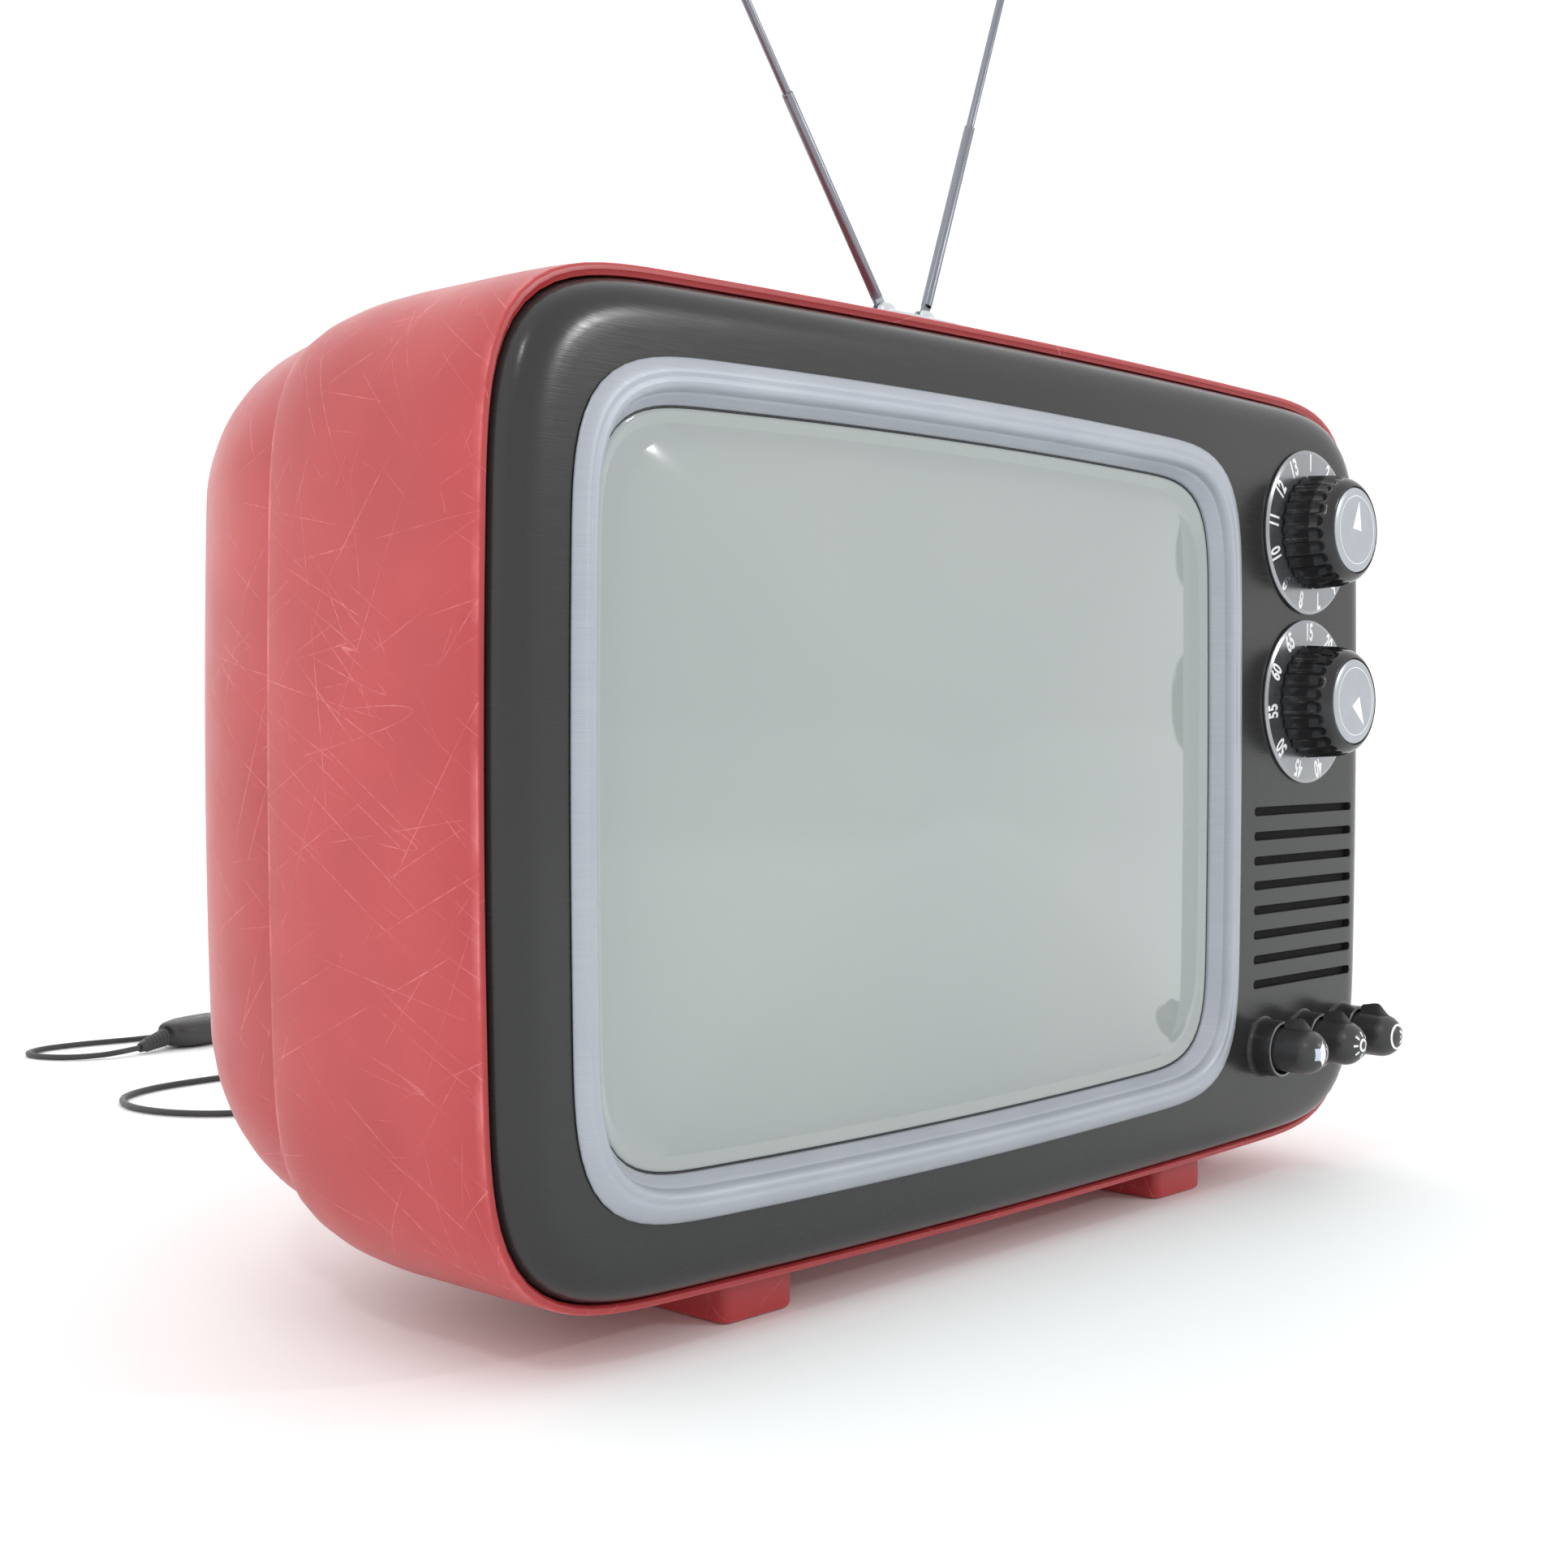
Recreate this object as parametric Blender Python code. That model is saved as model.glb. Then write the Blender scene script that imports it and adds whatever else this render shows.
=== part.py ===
"""Portable tube television: red two-part case, dark front panel, picture tube, tuners, speaker,
telescopic antenna and mains lead. Metres, +Z up. The front looks along -Y, and the set stands
on Z = 0 with the origin at the centre of its footprint (the mains lead is not counted)."""

import math

import bmesh
import bpy
from mathutils import Matrix, Vector

# ------------------------------------------------------------------ driving dimensions
CASE_HEIGHT = 0.300
CASE_WIDTH = 0.467
FOOT_HEIGHT = 0.012
SHELL_DEPTH = 0.096           # rim plane to the seam with the rear cover
REAR_DEPTH = 0.0975           # seam to the flat rear face
TOTAL_DEPTH = 0.261           # rim plane to the back of the neck housing
KNOB_REACH = 0.0372           # furthest piece in front of the rim plane
WALL = 0.003
GAP = 0.0003                  # clearance between pieces that touch
CORNER = 0.078
CORNER_POWER = 4.0
CASE_BOW = (0.0148, 0.0248)   # how far the sides and the top pull in towards the corners

CENTRE_Z = FOOT_HEIGHT + CASE_HEIGHT / 2
FRONT_Y = -(TOTAL_DEPTH - KNOB_REACH) / 2

RIM = 0.0021                  # width of the red edge seen from the front
RIM_Y = -0.0023               # Y of the red edge's front face
UNDER_LIFT = 0.0013           # the underside sits this much above the nominal outline
RIM_DRAW = (0.00135, 0.0005)  # how far the sides and the top pull in at the front
EDGE_DRAW = (0.0023, 0.0044, 0.0061)   # the same at the rear edge, and the underside
COVER_DRAW = (0.0067, 0.0050, 0.0092)  # where the rear cover starts: sides, top, underside
PANEL_INSET = 0.0043
PANEL_FACE = -0.0102          # Y of the dark panel's front face, from the rim plane
PANEL_THICK = 0.003

FRAME_CENTRE_X = -0.0382      # the picture tube sits left of centre
FRAME_HALF = (0.1691, 0.1239)
FRAME_CORNER = 0.0611
FRAME_BOW = (0.0112, 0.0265)
LIP_INSET = 0.0125            # silver frame edge to the glass
GLASS_BULGE = 0.011

COLUMN_X = 0.1797             # centre line of the controls
DIAL_Z = (0.0937, 0.0270)
DIAL_RADIUS = 0.0323
KNOB_RADIUS = 0.0223
KNOB_CAP_RADIUS = 0.0164
KNOB_FRONT = -0.0322
SLOT_COUNT = 8
SLOT_PITCH = 0.00957
SLOT_TOP_Z = -0.0156
SLOT_HALF = 0.0375
SLOT_WIDTH = 0.0036
CONTROL_PITCH = 0.030
CONTROL_Z = -0.1072
CONTROL_RADIUS = 0.0085
CONTROL_DOME_Y = -0.0289
COLLAR_RADIUS = 0.0108
COLLAR_BORE = 0.0096
COLLAR_FRONT = -0.0192

NECK_RADIUS = 0.0145
NECK_END = 0.232

FOOT_X = 0.1164
FOOT_HALF_WIDTH = 0.0155
FOOT_FRONT = 0.0062
FOOT_BACK = 0.084

ANTENNA_Y = 0.0474
PIVOT_X = 0.0108
PIVOT_LIFT = 0.0122           # tilt axis above the nominal top of the case
ROD_LENGTH = 0.076
ROD_RADII = (0.0020, 0.0015, 0.0010, 0.00055)
ROD_BORES = (0.0017, 0.0012, 0.00075)
ROD_STEP = 0.0700             # visible length of each drawn-out stage
FIRST_STEP = 0.0813           # tilt axis to the top of the first stage
LEFT_TILT, LEFT_YAW = math.radians(34.4), math.radians(180.0 - 4.3)
RIGHT_TILT, RIGHT_YAW = math.radians(22.9), math.radians(6.9)

CORD_DIAMETER = 0.003
CORD_POINTS = 78
CORD_REST_Z = CORD_DIAMETER / 2 + 0.0001

SIDE_POINTS = 1               # extra outline points along each side
CORNER_POINTS = 6
ROUND = 16

# ------------------------------------------------------------------ scene and materials
for old in list(bpy.data.objects):
    bpy.data.objects.remove(old)


def material(name, colour, roughness, metallic=0.0):
    """A plain Principled material."""
    made = bpy.data.materials.new(name)
    made.use_nodes = True
    shader = made.node_tree.nodes["Principled BSDF"]
    shader.inputs["Base Color"].default_value = (*colour, 1.0)
    shader.inputs["Roughness"].default_value = roughness
    shader.inputs["Metallic"].default_value = metallic
    return made


RED = material("red_plastic", (0.60, 0.10, 0.11), 0.35)
DARK = material("dark_plastic", (0.07, 0.07, 0.07), 0.45)
BLACK = material("black_gloss_plastic", (0.02, 0.02, 0.02), 0.2)
SILVER = material("satin_silver", (0.52, 0.55, 0.60), 0.35, 0.8)
STEEL = material("steel", (0.45, 0.45, 0.46), 0.4, 1.0)
CHROME = material("chrome", (0.70, 0.70, 0.72), 0.15, 1.0)
BRASS = material("brass", (0.75, 0.58, 0.25), 0.3, 1.0)
ALUMINIUM = material("aluminium", (0.62, 0.62, 0.63), 0.4, 1.0)
GLASS = material("tube_glass", (0.45, 0.50, 0.48), 0.08)
COPPER = material("copper_winding", (0.55, 0.22, 0.10), 0.35, 0.8)
BOARD = material("board_laminate", (0.38, 0.24, 0.10), 0.5)
RUBBER = material("black_rubber", (0.03, 0.03, 0.03), 0.6)
PAPER = material("cone_paper", (0.08, 0.07, 0.06), 0.9)

# ------------------------------------------------------------------ mesh helpers


def place(x, y, z):
    """A point given from the centre of the case front, in world coordinates."""
    return Vector((x, FRONT_Y + y, CENTRE_Z + z))


def finish_mesh(name, mesh_data, look, sharp=35.0):
    """Turn a bmesh into a named, smooth-shaded object with faces pointing out."""
    bmesh.ops.recalc_face_normals(mesh_data, faces=mesh_data.faces)
    mesh = bpy.data.meshes.new(name)
    mesh_data.to_mesh(mesh)
    mesh_data.free()
    mesh.materials.append(look)
    mesh.shade_smooth()
    mesh.set_sharp_from_angle(angle=math.radians(sharp))
    made = bpy.data.objects.new(name, mesh)
    bpy.context.collection.objects.link(made)
    return made


def loft(name, rings, look, closed=False, sharp=35.0):
    """Skin rings of equal point counts. A closed loft joins the last ring to the first."""
    bm = bmesh.new()
    loops = [[bm.verts.new(p) for p in ring] for ring in rings]
    count = len(loops[0])
    pairs = list(zip(loops, loops[1:]))
    if closed:
        pairs.append((loops[-1], loops[0]))
    for a, b in pairs:
        for i in range(count):
            j = (i + 1) % count
            bm.faces.new((a[i], a[j], b[j], b[i]))
    if not closed:
        bm.faces.new(list(reversed(loops[0])))
        bm.faces.new(loops[-1])
    return finish_mesh(name, bm, look, sharp)


def circle(radius, y, count=ROUND, centre=(0.0, 0.0), phase=0.0):
    """A ring of points around the Y direction."""
    points = []
    for i in range(count):
        turn = 2 * math.pi * (i + phase) / count
        x = centre[0] + radius * math.cos(turn)
        z = centre[1] + radius * math.sin(turn)
        points.append(Vector((x, y, z)))
    return points


def turned(name, profile, look, at, closed=False, count=ROUND, sharp=35.0):
    """Revolve (radius, y) points about the Y direction through the point `at`."""
    made = loft(name, [circle(r, y, count) for r, y in profile], look, closed, sharp)
    made.location = at
    return made


def outline(half_width, half_height, corner, bow, centre=(0.0, 0.0), power=CORNER_POWER):
    """A rounded rectangle whose corners are superellipses and whose sides bulge a little."""
    points = []
    for quarter in range(4):
        sx, sz = ((1, 1), (-1, 1), (-1, -1), (1, -1))[quarter]
        arc = []
        for k in range(CORNER_POINTS):
            turn = math.pi / 2 * k / (CORNER_POINTS - 1)
            cx = math.cos(turn) ** (2 / power) if turn < math.pi / 2 - 1e-9 else 0.0
            cz = math.sin(turn) ** (2 / power) if turn > 1e-9 else 0.0
            arc.append((sx * (half_width - corner + corner * cx), sz * (half_height - corner + corner * cz)))
        if sx * sz < 0:
            arc.reverse()
        points += arc
        nx, nz = ((-1, 1), (-1, -1), (1, -1), (1, 1))[quarter]
        end = (nx * (half_width - corner), nz * half_height)
        if quarter % 2:
            end = (nx * half_width, nz * (half_height - corner))
        start = arc[-1]
        for k in range(1, SIDE_POINTS + 1):
            share = k / (SIDE_POINTS + 1)
            points.append((start[0] + (end[0] - start[0]) * share, start[1] + (end[1] - start[1]) * share))
    bowed = []
    for x, z in points:
        pulled_x = x * (1 - bow[0] * (z / half_height) ** 2)
        pulled_z = z * (1 - bow[1] * (x / half_width) ** 2)
        bowed.append((pulled_x + centre[0], pulled_z + centre[1]))
    return bowed


def case_ring(inset, y, side=0.0, top=0.0, under=0.0):
    """A ring of the case, set in from its outline all round, and more at the sides, top or underside."""
    high = CASE_HEIGHT / 2 - inset - top
    low = -CASE_HEIGHT / 2 + UNDER_LIFT + inset + under
    pts = outline(CASE_WIDTH / 2 - inset - side, (high - low) / 2, CORNER - inset - side, CASE_BOW,
                  (0.0, (high + low) / 2))
    return [place(x, y, z) for x, z in pts]


def frame_ring(inset, y):
    """A ring of the screen surround, set in from its outer outline."""
    pts = outline(FRAME_HALF[0] - inset, FRAME_HALF[1] - inset, FRAME_CORNER - inset, FRAME_BOW,
                  (FRAME_CENTRE_X, 0.0))
    return [place(x, y, z) for x, z in pts]


def block(name, low, high, look, round_by=0.0):
    """A box between two corners given from the centre of the case front."""
    a, b = place(*low), place(*high)
    bm = bmesh.new()
    bmesh.ops.create_cube(bm, size=1.0)
    bmesh.ops.scale(bm, vec=b - a, verts=bm.verts)
    if round_by:
        bmesh.ops.bevel(bm, geom=bm.edges[:], offset=round_by, segments=2, affect="EDGES", profile=0.5)
    made = finish_mesh(name, bm, look)
    made.location = (a + b) / 2
    return made


def cylinder(name, radius, y0, y1, x, z, look, count=ROUND):
    """A plain cylinder along Y."""
    return turned(name, [(radius, y0), (radius, y1)], look, place(x, 0.0, z), count=count)


def upright(name, profile, look, at, count=ROUND, closed=False):
    """Revolve (radius, z) points about the vertical through `at`."""
    made = turned(name, [(r, -z) for r, z in profile], look, at, closed, count)
    made.data.transform(Matrix.Rotation(-math.pi / 2, 4, "X"))
    return made


def tool(made):
    """Keep an object only as the tool of a Boolean."""
    made.hide_render = True
    made.display_type = "WIRE"
    return made


def boolean(target, helper, operation):
    """Combine two bodies."""
    step = target.modifiers.new(operation.lower(), "BOOLEAN")
    step.operation = operation
    step.object = tool(helper)


def cut(target, *helpers):
    for helper in helpers:
        boolean(target, helper, "DIFFERENCE")


def add(target, *helpers):
    for helper in helpers:
        boolean(target, helper, "UNION")


# ------------------------------------------------------------------ case
BOSS_X, BOSS_Z = 0.205, 0.100
BOSS_RADIUS = 0.0065


def cabinet_shell():
    """Front half of the case: a red rim, a ledge for the panel, and a rear edge that curls in."""
    side, top = RIM_DRAW
    rim = [case_ring(i, y, side, top) for i, y in ((RIM, RIM_Y + 0.0003), (RIM - 0.0003, RIM_Y),
                                                   (0.0004, RIM_Y), (0.0, RIM_Y + 0.0004))]
    outside = [case_ring(0.0, 0.006, side * 0.4, top * 0.4), case_ring(0.0, 0.024), case_ring(0.0, 0.060)]
    curl = [(0.0, 0.16, 0.075), (0.0, 0.33, 0.082), (0.0, 0.55, 0.088), (0.0, 0.78, 0.0925),
            (0.0, 1.0, SHELL_DEPTH), (0.0076, 1.0, SHELL_DEPTH), (0.0045, 0.52, 0.087), (0.0033, 0.14, 0.074)]
    curled = [case_ring(i, y, *(share * draw for draw in EDGE_DRAW)) for i, share, y in curl]
    inside = [case_ring(i, y) for i, y in ((WALL, 0.062), (WALL, 0.015), (0.0085, 0.0125), (0.0085, 0.0096))]
    ledge = [case_ring(RIM, 0.0093, side, top)]
    shell = loft("cabinet_shell", rim + outside + curled + inside + ledge, RED, closed=True)
    for sx in (-1, 1):
        for sz in (-1, 1):
            x, z = sx * BOSS_X, sz * BOSS_Z
            near, far = sorted((x, sx * 0.2290))
            rib = block("boss_rib", (near, 0.066, z - 0.0015), (far, 0.078, z + 0.0015), RED)
            post = cylinder("boss_post", BOSS_RADIUS, 0.0662, SHELL_DEPTH - GAP, x, z, RED, 12)
            hole = cylinder("boss_hole", 0.0018, 0.080, 0.100, x, z, RED, 8)
            add(shell, rib, post)
            cut(shell, hole)
    for x in (-0.155, 0.105):
        for y in (0.038, 0.074):
            foot = upright("board_post", [(0.004, -0.1455), (0.004, BOARD_Z - 0.0008 - GAP)], RED,
                           place(x, y, 0.0), 8)
            add(shell, foot)
    cut(shell, block("antenna_opening", (-0.0172, ANTENNA_Y - 0.0092, 0.140),
                     (0.0172, ANTENNA_Y + 0.0092, 0.158), RED))
    return shell


def rear_ring(share, wall=0.0):
    """A ring of the domed rear cover. The underside tucks in more than the top."""
    power = 2.47
    draw = 0.0915 * (1 - (1 - share ** power) ** (1 / power))
    y = SHELL_DEPTH + REAR_DEPTH * share
    side, over, under = COVER_DRAW
    half_width = CASE_WIDTH / 2 - side - 1.015 * draw - wall
    top = CASE_HEIGHT / 2 - over - 0.611 * draw - wall
    bottom = -CASE_HEIGHT / 2 + under + 1.316 * draw + wall
    half_height = (top - bottom) / 2
    corner = min(0.0464, half_height - 0.002)
    pts = outline(half_width, half_height, corner, CASE_BOW, (0.0, (top + bottom) / 2), 2.0)
    return [place(x, y, z) for x, z in pts]


def rear_cover():
    """Rear half of the case: a domed cover with a neck housing, air slots and screw wells."""
    shares = (0.0, 0.25, 0.48, 0.67, 0.82, 0.92, 0.98, 1.0)
    cover = loft("rear_cover", [rear_ring(s) for s in shares], RED)
    cover.data.transform(Matrix.Translation((0, 0.0003, 0)))
    housing = [(0.0, 0.165), (0.0, 0.249), (0.0016, 0.256), (0.0055, 0.260), (0.012, TOTAL_DEPTH)]
    add(cover, loft("neck_housing", [neck_ring(i, y) for i, y in housing], RED))
    hollow = loft("cover_hollow", [rear_ring(s, WALL) for s in shares[:-1]], RED)
    hollow.data.transform(Matrix.Translation((0, -0.0022, 0)))
    hollow_front = loft("hollow_front", [rear_ring(0.0, WALL), rear_ring(0.02, WALL)], RED)
    hollow_front.data.transform(Matrix.Translation((0, -0.004, 0)))
    for sx in (-1, 1):
        for sz in (-1, 1):
            well = cylinder("well_wall", 0.0075, 0.090, 0.150, sx * BOSS_X, sz * BOSS_Z, RED, 12)
            cut(hollow, well)
    cut(cover, hollow, hollow_front)
    inner = [(WALL, 0.150), (WALL, 0.2465), (0.0048, 0.254), (0.011, TOTAL_DEPTH - WALL)]
    cut(cover, loft("neck_hollow", [neck_ring(i, y) for i, y in inner], RED))
    for sx in (-1, 1):
        for sz in (-1, 1):
            x, z = sx * BOSS_X, sz * BOSS_Z
            cut(cover, cylinder("well", 0.0052, 0.1005, 0.190, x, z, RED, 12))
            cut(cover, cylinder("screw_hole", 0.0023, 0.090, 0.110, x, z, RED, 8))
    for row in range(8):
        z = 0.056 - 0.0095 * row
        cut(cover, block("rear_slot", (0.034, 0.184, z - 0.0018), (0.112, 0.200, z + 0.0018), RED))
        if row in (1, 3, 5, 7):
            cut(cover, block("side_slot", (-0.122, 0.184, z - 0.0018), (-0.101, 0.200, z + 0.0018), RED))
    for column in range(12):
        x = -0.060 + 0.0125 * column
        cut(cover, block("top_slot", (x - 0.0018, 0.118, 0.100), (x + 0.0018, 0.146, 0.160), RED))
    cut(cover, cylinder("gland_hole", 0.0055, 0.180, 0.200, GLAND_X, GLAND_Z, RED, 16))
    return cover


def neck_ring(inset, y):
    """A ring of the housing around the tube neck."""
    pts = outline(0.052 - inset, 0.046 - inset, 0.024 - inset / 2, (0.0, 0.0), (FRAME_CENTRE_X, 0.004), 2.6)
    return [place(x, y, z) for x, z in pts]


def rear_cover_screws():
    """Four pan-head screws at the bottom of the screw wells."""
    for name, sx, sz in (("upper_left", -1, 1), ("upper_right", 1, 1),
                         ("lower_left", -1, -1), ("lower_right", 1, -1)):
        profile = [(0.0014, 0.0835), (0.0014, 0.1008), (0.0040, 0.1008), (0.0040, 0.1022), (0.0026, 0.1034)]
        screw = turned(f"rear_screw_{name}", profile, STEEL, place(sx * BOSS_X, 0.0, sz * BOSS_Z), count=10)
        slot = block("screw_slot", (sx * BOSS_X - 0.006, 0.1027, sz * BOSS_Z - 0.0004),
                     (sx * BOSS_X + 0.006, 0.106, sz * BOSS_Z + 0.0004), STEEL)
        cut(screw, slot)


def feet():
    """Two runners under the case."""
    for name, side in (("left_foot", -1), ("right_foot", 1)):
        x = side * FOOT_X
        foot = block(name, (x - FOOT_HALF_WIDTH, FOOT_FRONT, -CASE_HEIGHT / 2 - FOOT_HEIGHT),
                     (x + FOOT_HALF_WIDTH, FOOT_BACK, -CASE_HEIGHT / 2 + 0.0075), RED, 0.0024)
        clearance = loft("foot_clearance", [case_ring(-GAP, -0.02), case_ring(-GAP, 0.10)], RED)
        cut(foot, clearance)


# ------------------------------------------------------------------ front panel


def panel_ring(inset, y):
    """A ring of the panel, which keeps the nominal outline of the case."""
    reach = PANEL_INSET + inset
    pts = outline(CASE_WIDTH / 2 - reach, CASE_HEIGHT / 2 - reach, CORNER - reach, CASE_BOW)
    return [place(x, y, z) for x, z in pts]


def front_panel():
    """Dark crowned panel with the screen opening, control collars, shaft holes and sound slots."""
    face, back = PANEL_FACE, PANEL_FACE + PANEL_THICK
    crown = [(0.0, 0.0090), (0.0, 0.0004), (0.0005, -0.0034), (0.0018, -0.0061), (0.0042, -0.0083),
             (0.0080, -0.0097), (0.0130, face)]
    rings = [panel_ring(i, y) for i, y in crown]
    rings += [frame_ring(0.0046, face), frame_ring(0.0046, back)]
    inside = ((0.0130, back), (0.0075, -0.0062), (0.0038, -0.0030), (0.0030, 0.0090))
    rings += [panel_ring(i, y) for i, y in inside]
    panel = loft("front_panel", rings, DARK, closed=True)
    for k in range(SLOT_COUNT):
        z = SLOT_TOP_Z - SLOT_PITCH * k
        cut(panel, slot_cutter(z))
    for z in DIAL_Z:
        cut(panel, cylinder("shaft_hole", 0.0045, -0.02, 0.0, COLUMN_X, z, DARK, 16))
    for k in (-1, 0, 1):
        x = COLUMN_X + k * CONTROL_PITCH
        profile = [(COLLAR_BORE, COLLAR_FRONT), (COLLAR_RADIUS, COLLAR_FRONT), (COLLAR_RADIUS, -0.0118),
                   (COLLAR_RADIUS + 0.0012, PANEL_FACE - 0.0001), (COLLAR_RADIUS + 0.0012, -0.0085),
                   (COLLAR_BORE, -0.0085)]
        add(panel, turned("collar", profile, DARK, place(x, 0.0, CONTROL_Z), closed=True, count=20))
        cut(panel, cylinder("control_hole", 0.0038, -0.0125, 0.0, x, CONTROL_Z, DARK, 10))
    return panel


def slot_cutter(z):
    """A round-ended bar that cuts one sound slot."""
    radius = SLOT_WIDTH / 2
    pts = []
    for side in (1, -1):
        for k in range(5):
            turn = math.pi * (k / 4 - 0.5) * side
            x = side * (SLOT_HALF - radius) + side * radius * math.cos(turn)
            pts.append((COLUMN_X + x, z + radius * math.sin(turn)))
    rings = [[place(x, y, zz) for x, zz in pts] for y in (-0.016, 0.0)]
    return loft("sound_slot", rings, DARK)


def screen_frame():
    """Silver surround: a rolled bead with a shallow step, a groove, and a lip that slopes in to the glass."""
    face = PANEL_FACE - GAP
    section = [(0.0, face), (0.0001, -0.0109), (0.0011, -0.0119), (0.0027, -0.0127), (0.0042, -0.0129),
               (0.0053, -0.0125), (0.0068, -0.0129), (0.0083, -0.0122), (0.0091, -0.0106), (0.0094, -0.0093),
               (LIP_INSET, -0.0052), (LIP_INSET, -0.0036), (0.0052, -0.0036), (0.0052, face)]
    return loft("screen_frame", [frame_ring(i, y) for i, y in section], SILVER, closed=True)


# ------------------------------------------------------------------ picture tube
GLASS_EDGE_Y = -0.0030
FUNNEL = ((0.030, 0.0, 1.0), (0.058, 0.22, 0.82), (0.088, 0.50, 0.60), (0.112, 0.78, 0.42))


def tube_ring(inset, y):
    """A ring of the tube's face skirt."""
    return frame_ring(LIP_INSET - 0.0074 + inset, y)


def funnel_ring(share_round, scale, y, wall=0.0):
    """A funnel section that changes from the face's rounded rectangle to the neck's circle."""
    inset = 0.0051 + wall
    box = outline(FRAME_HALF[0] - inset, FRAME_HALF[1] - inset, FRAME_CORNER - wall, FRAME_BOW)
    radius = 0.150 - wall / max(scale, 0.2)
    points = []
    for x, z in box:
        reach = math.hypot(x, z)
        blend = (1 - share_round) + share_round * radius / reach
        points.append(place(FRAME_CENTRE_X + x * scale * blend, y, z * scale * blend))
    return points


def neck_circle(radius, y):
    """A round section of the neck, with its points in line with the funnel's."""
    box = outline(FRAME_HALF[0], FRAME_HALF[1], FRAME_CORNER, FRAME_BOW)
    points = []
    for x, z in box:
        turn = math.atan2(z, x)
        points.append(place(FRAME_CENTRE_X + radius * math.cos(turn), y, radius * math.sin(turn)))
    return points


def picture_tube():
    """One glass bulb: bulging face, skirt, funnel and open neck, hollow behind the face."""
    face = []
    for share in (0.22, 0.45, 0.66, 0.84, 1.0):
        inset_w, inset_h = FRAME_HALF[0] - LIP_INSET, FRAME_HALF[1] - LIP_INSET
        pts = outline(inset_w * share, inset_h * share, (FRAME_CORNER - LIP_INSET) * share, FRAME_BOW,
                      (FRAME_CENTRE_X, 0.0))
        y = GLASS_EDGE_Y - GLASS_BULGE * (1 - share ** 2.2)
        face.append([place(x, y, z) for x, z in pts])
    outer = face + [tube_ring(0.003, -0.0026), tube_ring(0.0006, -0.0010), tube_ring(0.0, 0.0020),
                    tube_ring(0.0, 0.024)]
    outer += [funnel_ring(r, s, y) for y, r, s in FUNNEL]
    outer += [neck_circle(0.034, 0.128), neck_circle(0.0195, 0.140), neck_circle(NECK_RADIUS, 0.148),
              neck_circle(NECK_RADIUS, NECK_END)]
    bulb = loft("picture_tube", outer, GLASS, sharp=60.0)
    wall = 0.004
    inner = [funnel_ring(r, s, y, wall) for y, r, s in FUNNEL]
    inner.insert(0, tube_ring(0.009, 0.010))
    inner += [neck_circle(0.030, 0.127), neck_circle(0.016, 0.139), neck_circle(0.0120, 0.149),
              neck_circle(0.0120, 0.260)]
    cut(bulb, loft("bulb_hollow", inner, GLASS))
    return bulb


def tube_band():
    """Steel strap shrunk around the tube's face skirt."""
    section = ((-GAP, 0.004), (-0.0016, 0.004), (-0.0016, 0.020), (-GAP, 0.020))
    rings = [tube_ring(inset, y) for inset, y in section]
    return loft("tube_band", rings, STEEL, closed=True)


def tube_neck_parts():
    """Deflection yoke, electron gun, socket board and anode cap."""
    at = place(FRAME_CENTRE_X, 0.0, 0.0)
    yoke = [(0.0372, 0.1292), (0.0450, 0.1270), (0.0470, 0.1300), (0.0350, 0.1400), (0.0330, 0.1560),
            (0.0370, 0.1600), (0.0350, 0.1640), (0.0152, 0.1640), (0.0152, 0.1490), (0.0215, 0.1400)]
    turned("deflection_yoke", yoke, COPPER, at, closed=True, sharp=25.0)
    gun = [(0.0090, 0.168), (0.0112, 0.172), (0.0112, 0.228), (0.0070, 0.231), (0.0070, NECK_END + 0.0045)]
    turned("electron_gun", gun, STEEL, at, count=16)
    board = block("neck_socket_board", (FRAME_CENTRE_X - 0.024, 0.2445, -0.022),
                  (FRAME_CENTRE_X + 0.024, 0.2461, 0.022), BOARD)
    add(board, cylinder("socket", 0.0155, NECK_END + 0.0049, 0.2455, FRAME_CENTRE_X, 0.0, BOARD, 20))
    cap = upright("anode_cap", [(0.012, 0.0), (0.0115, 0.002), (0.006, 0.0045), (0.004, 0.009)], RUBBER,
                  place(FRAME_CENTRE_X, 0.0745, 0.0930), 16)
    cap.rotation_euler = (math.radians(-37.0), 0.0, 0.0)


# ------------------------------------------------------------------ electronics
BOARD_Z = -0.128


def chassis():
    """Main board on four posts, with its tallest parts."""
    top = BOARD_Z + 0.0008 + GAP
    block("main_board", (-0.168, 0.030, BOARD_Z - 0.0008), (0.118, 0.118, BOARD_Z + 0.0008), BOARD)
    flyback = block("flyback_transformer", (-0.150, 0.080, top), (-0.118, 0.112, top + 0.030), BLACK, 0.002)
    winding = [(0.011, top + 0.028), (0.011, top + 0.042), (0.008, top + 0.044)]
    add(flyback, upright("flyback_winding", winding, BLACK, place(-0.134, 0.096, 0.0), 20))
    upright("filter_capacitor", [(0.0105, top), (0.0105, top + 0.029), (0.0095, top + 0.030)], ALUMINIUM,
            place(0.090, 0.098, 0.0), 20)
    sink = block("heat_sink", (0.030, 0.084, top), (0.066, 0.087, top + 0.026), ALUMINIUM)
    for k in range(5):
        x = 0.031 + 0.0082 * k
        add(sink, block("fin", (x, 0.086, top), (x + 0.0014, 0.102, top + 0.026), ALUMINIUM))


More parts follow.
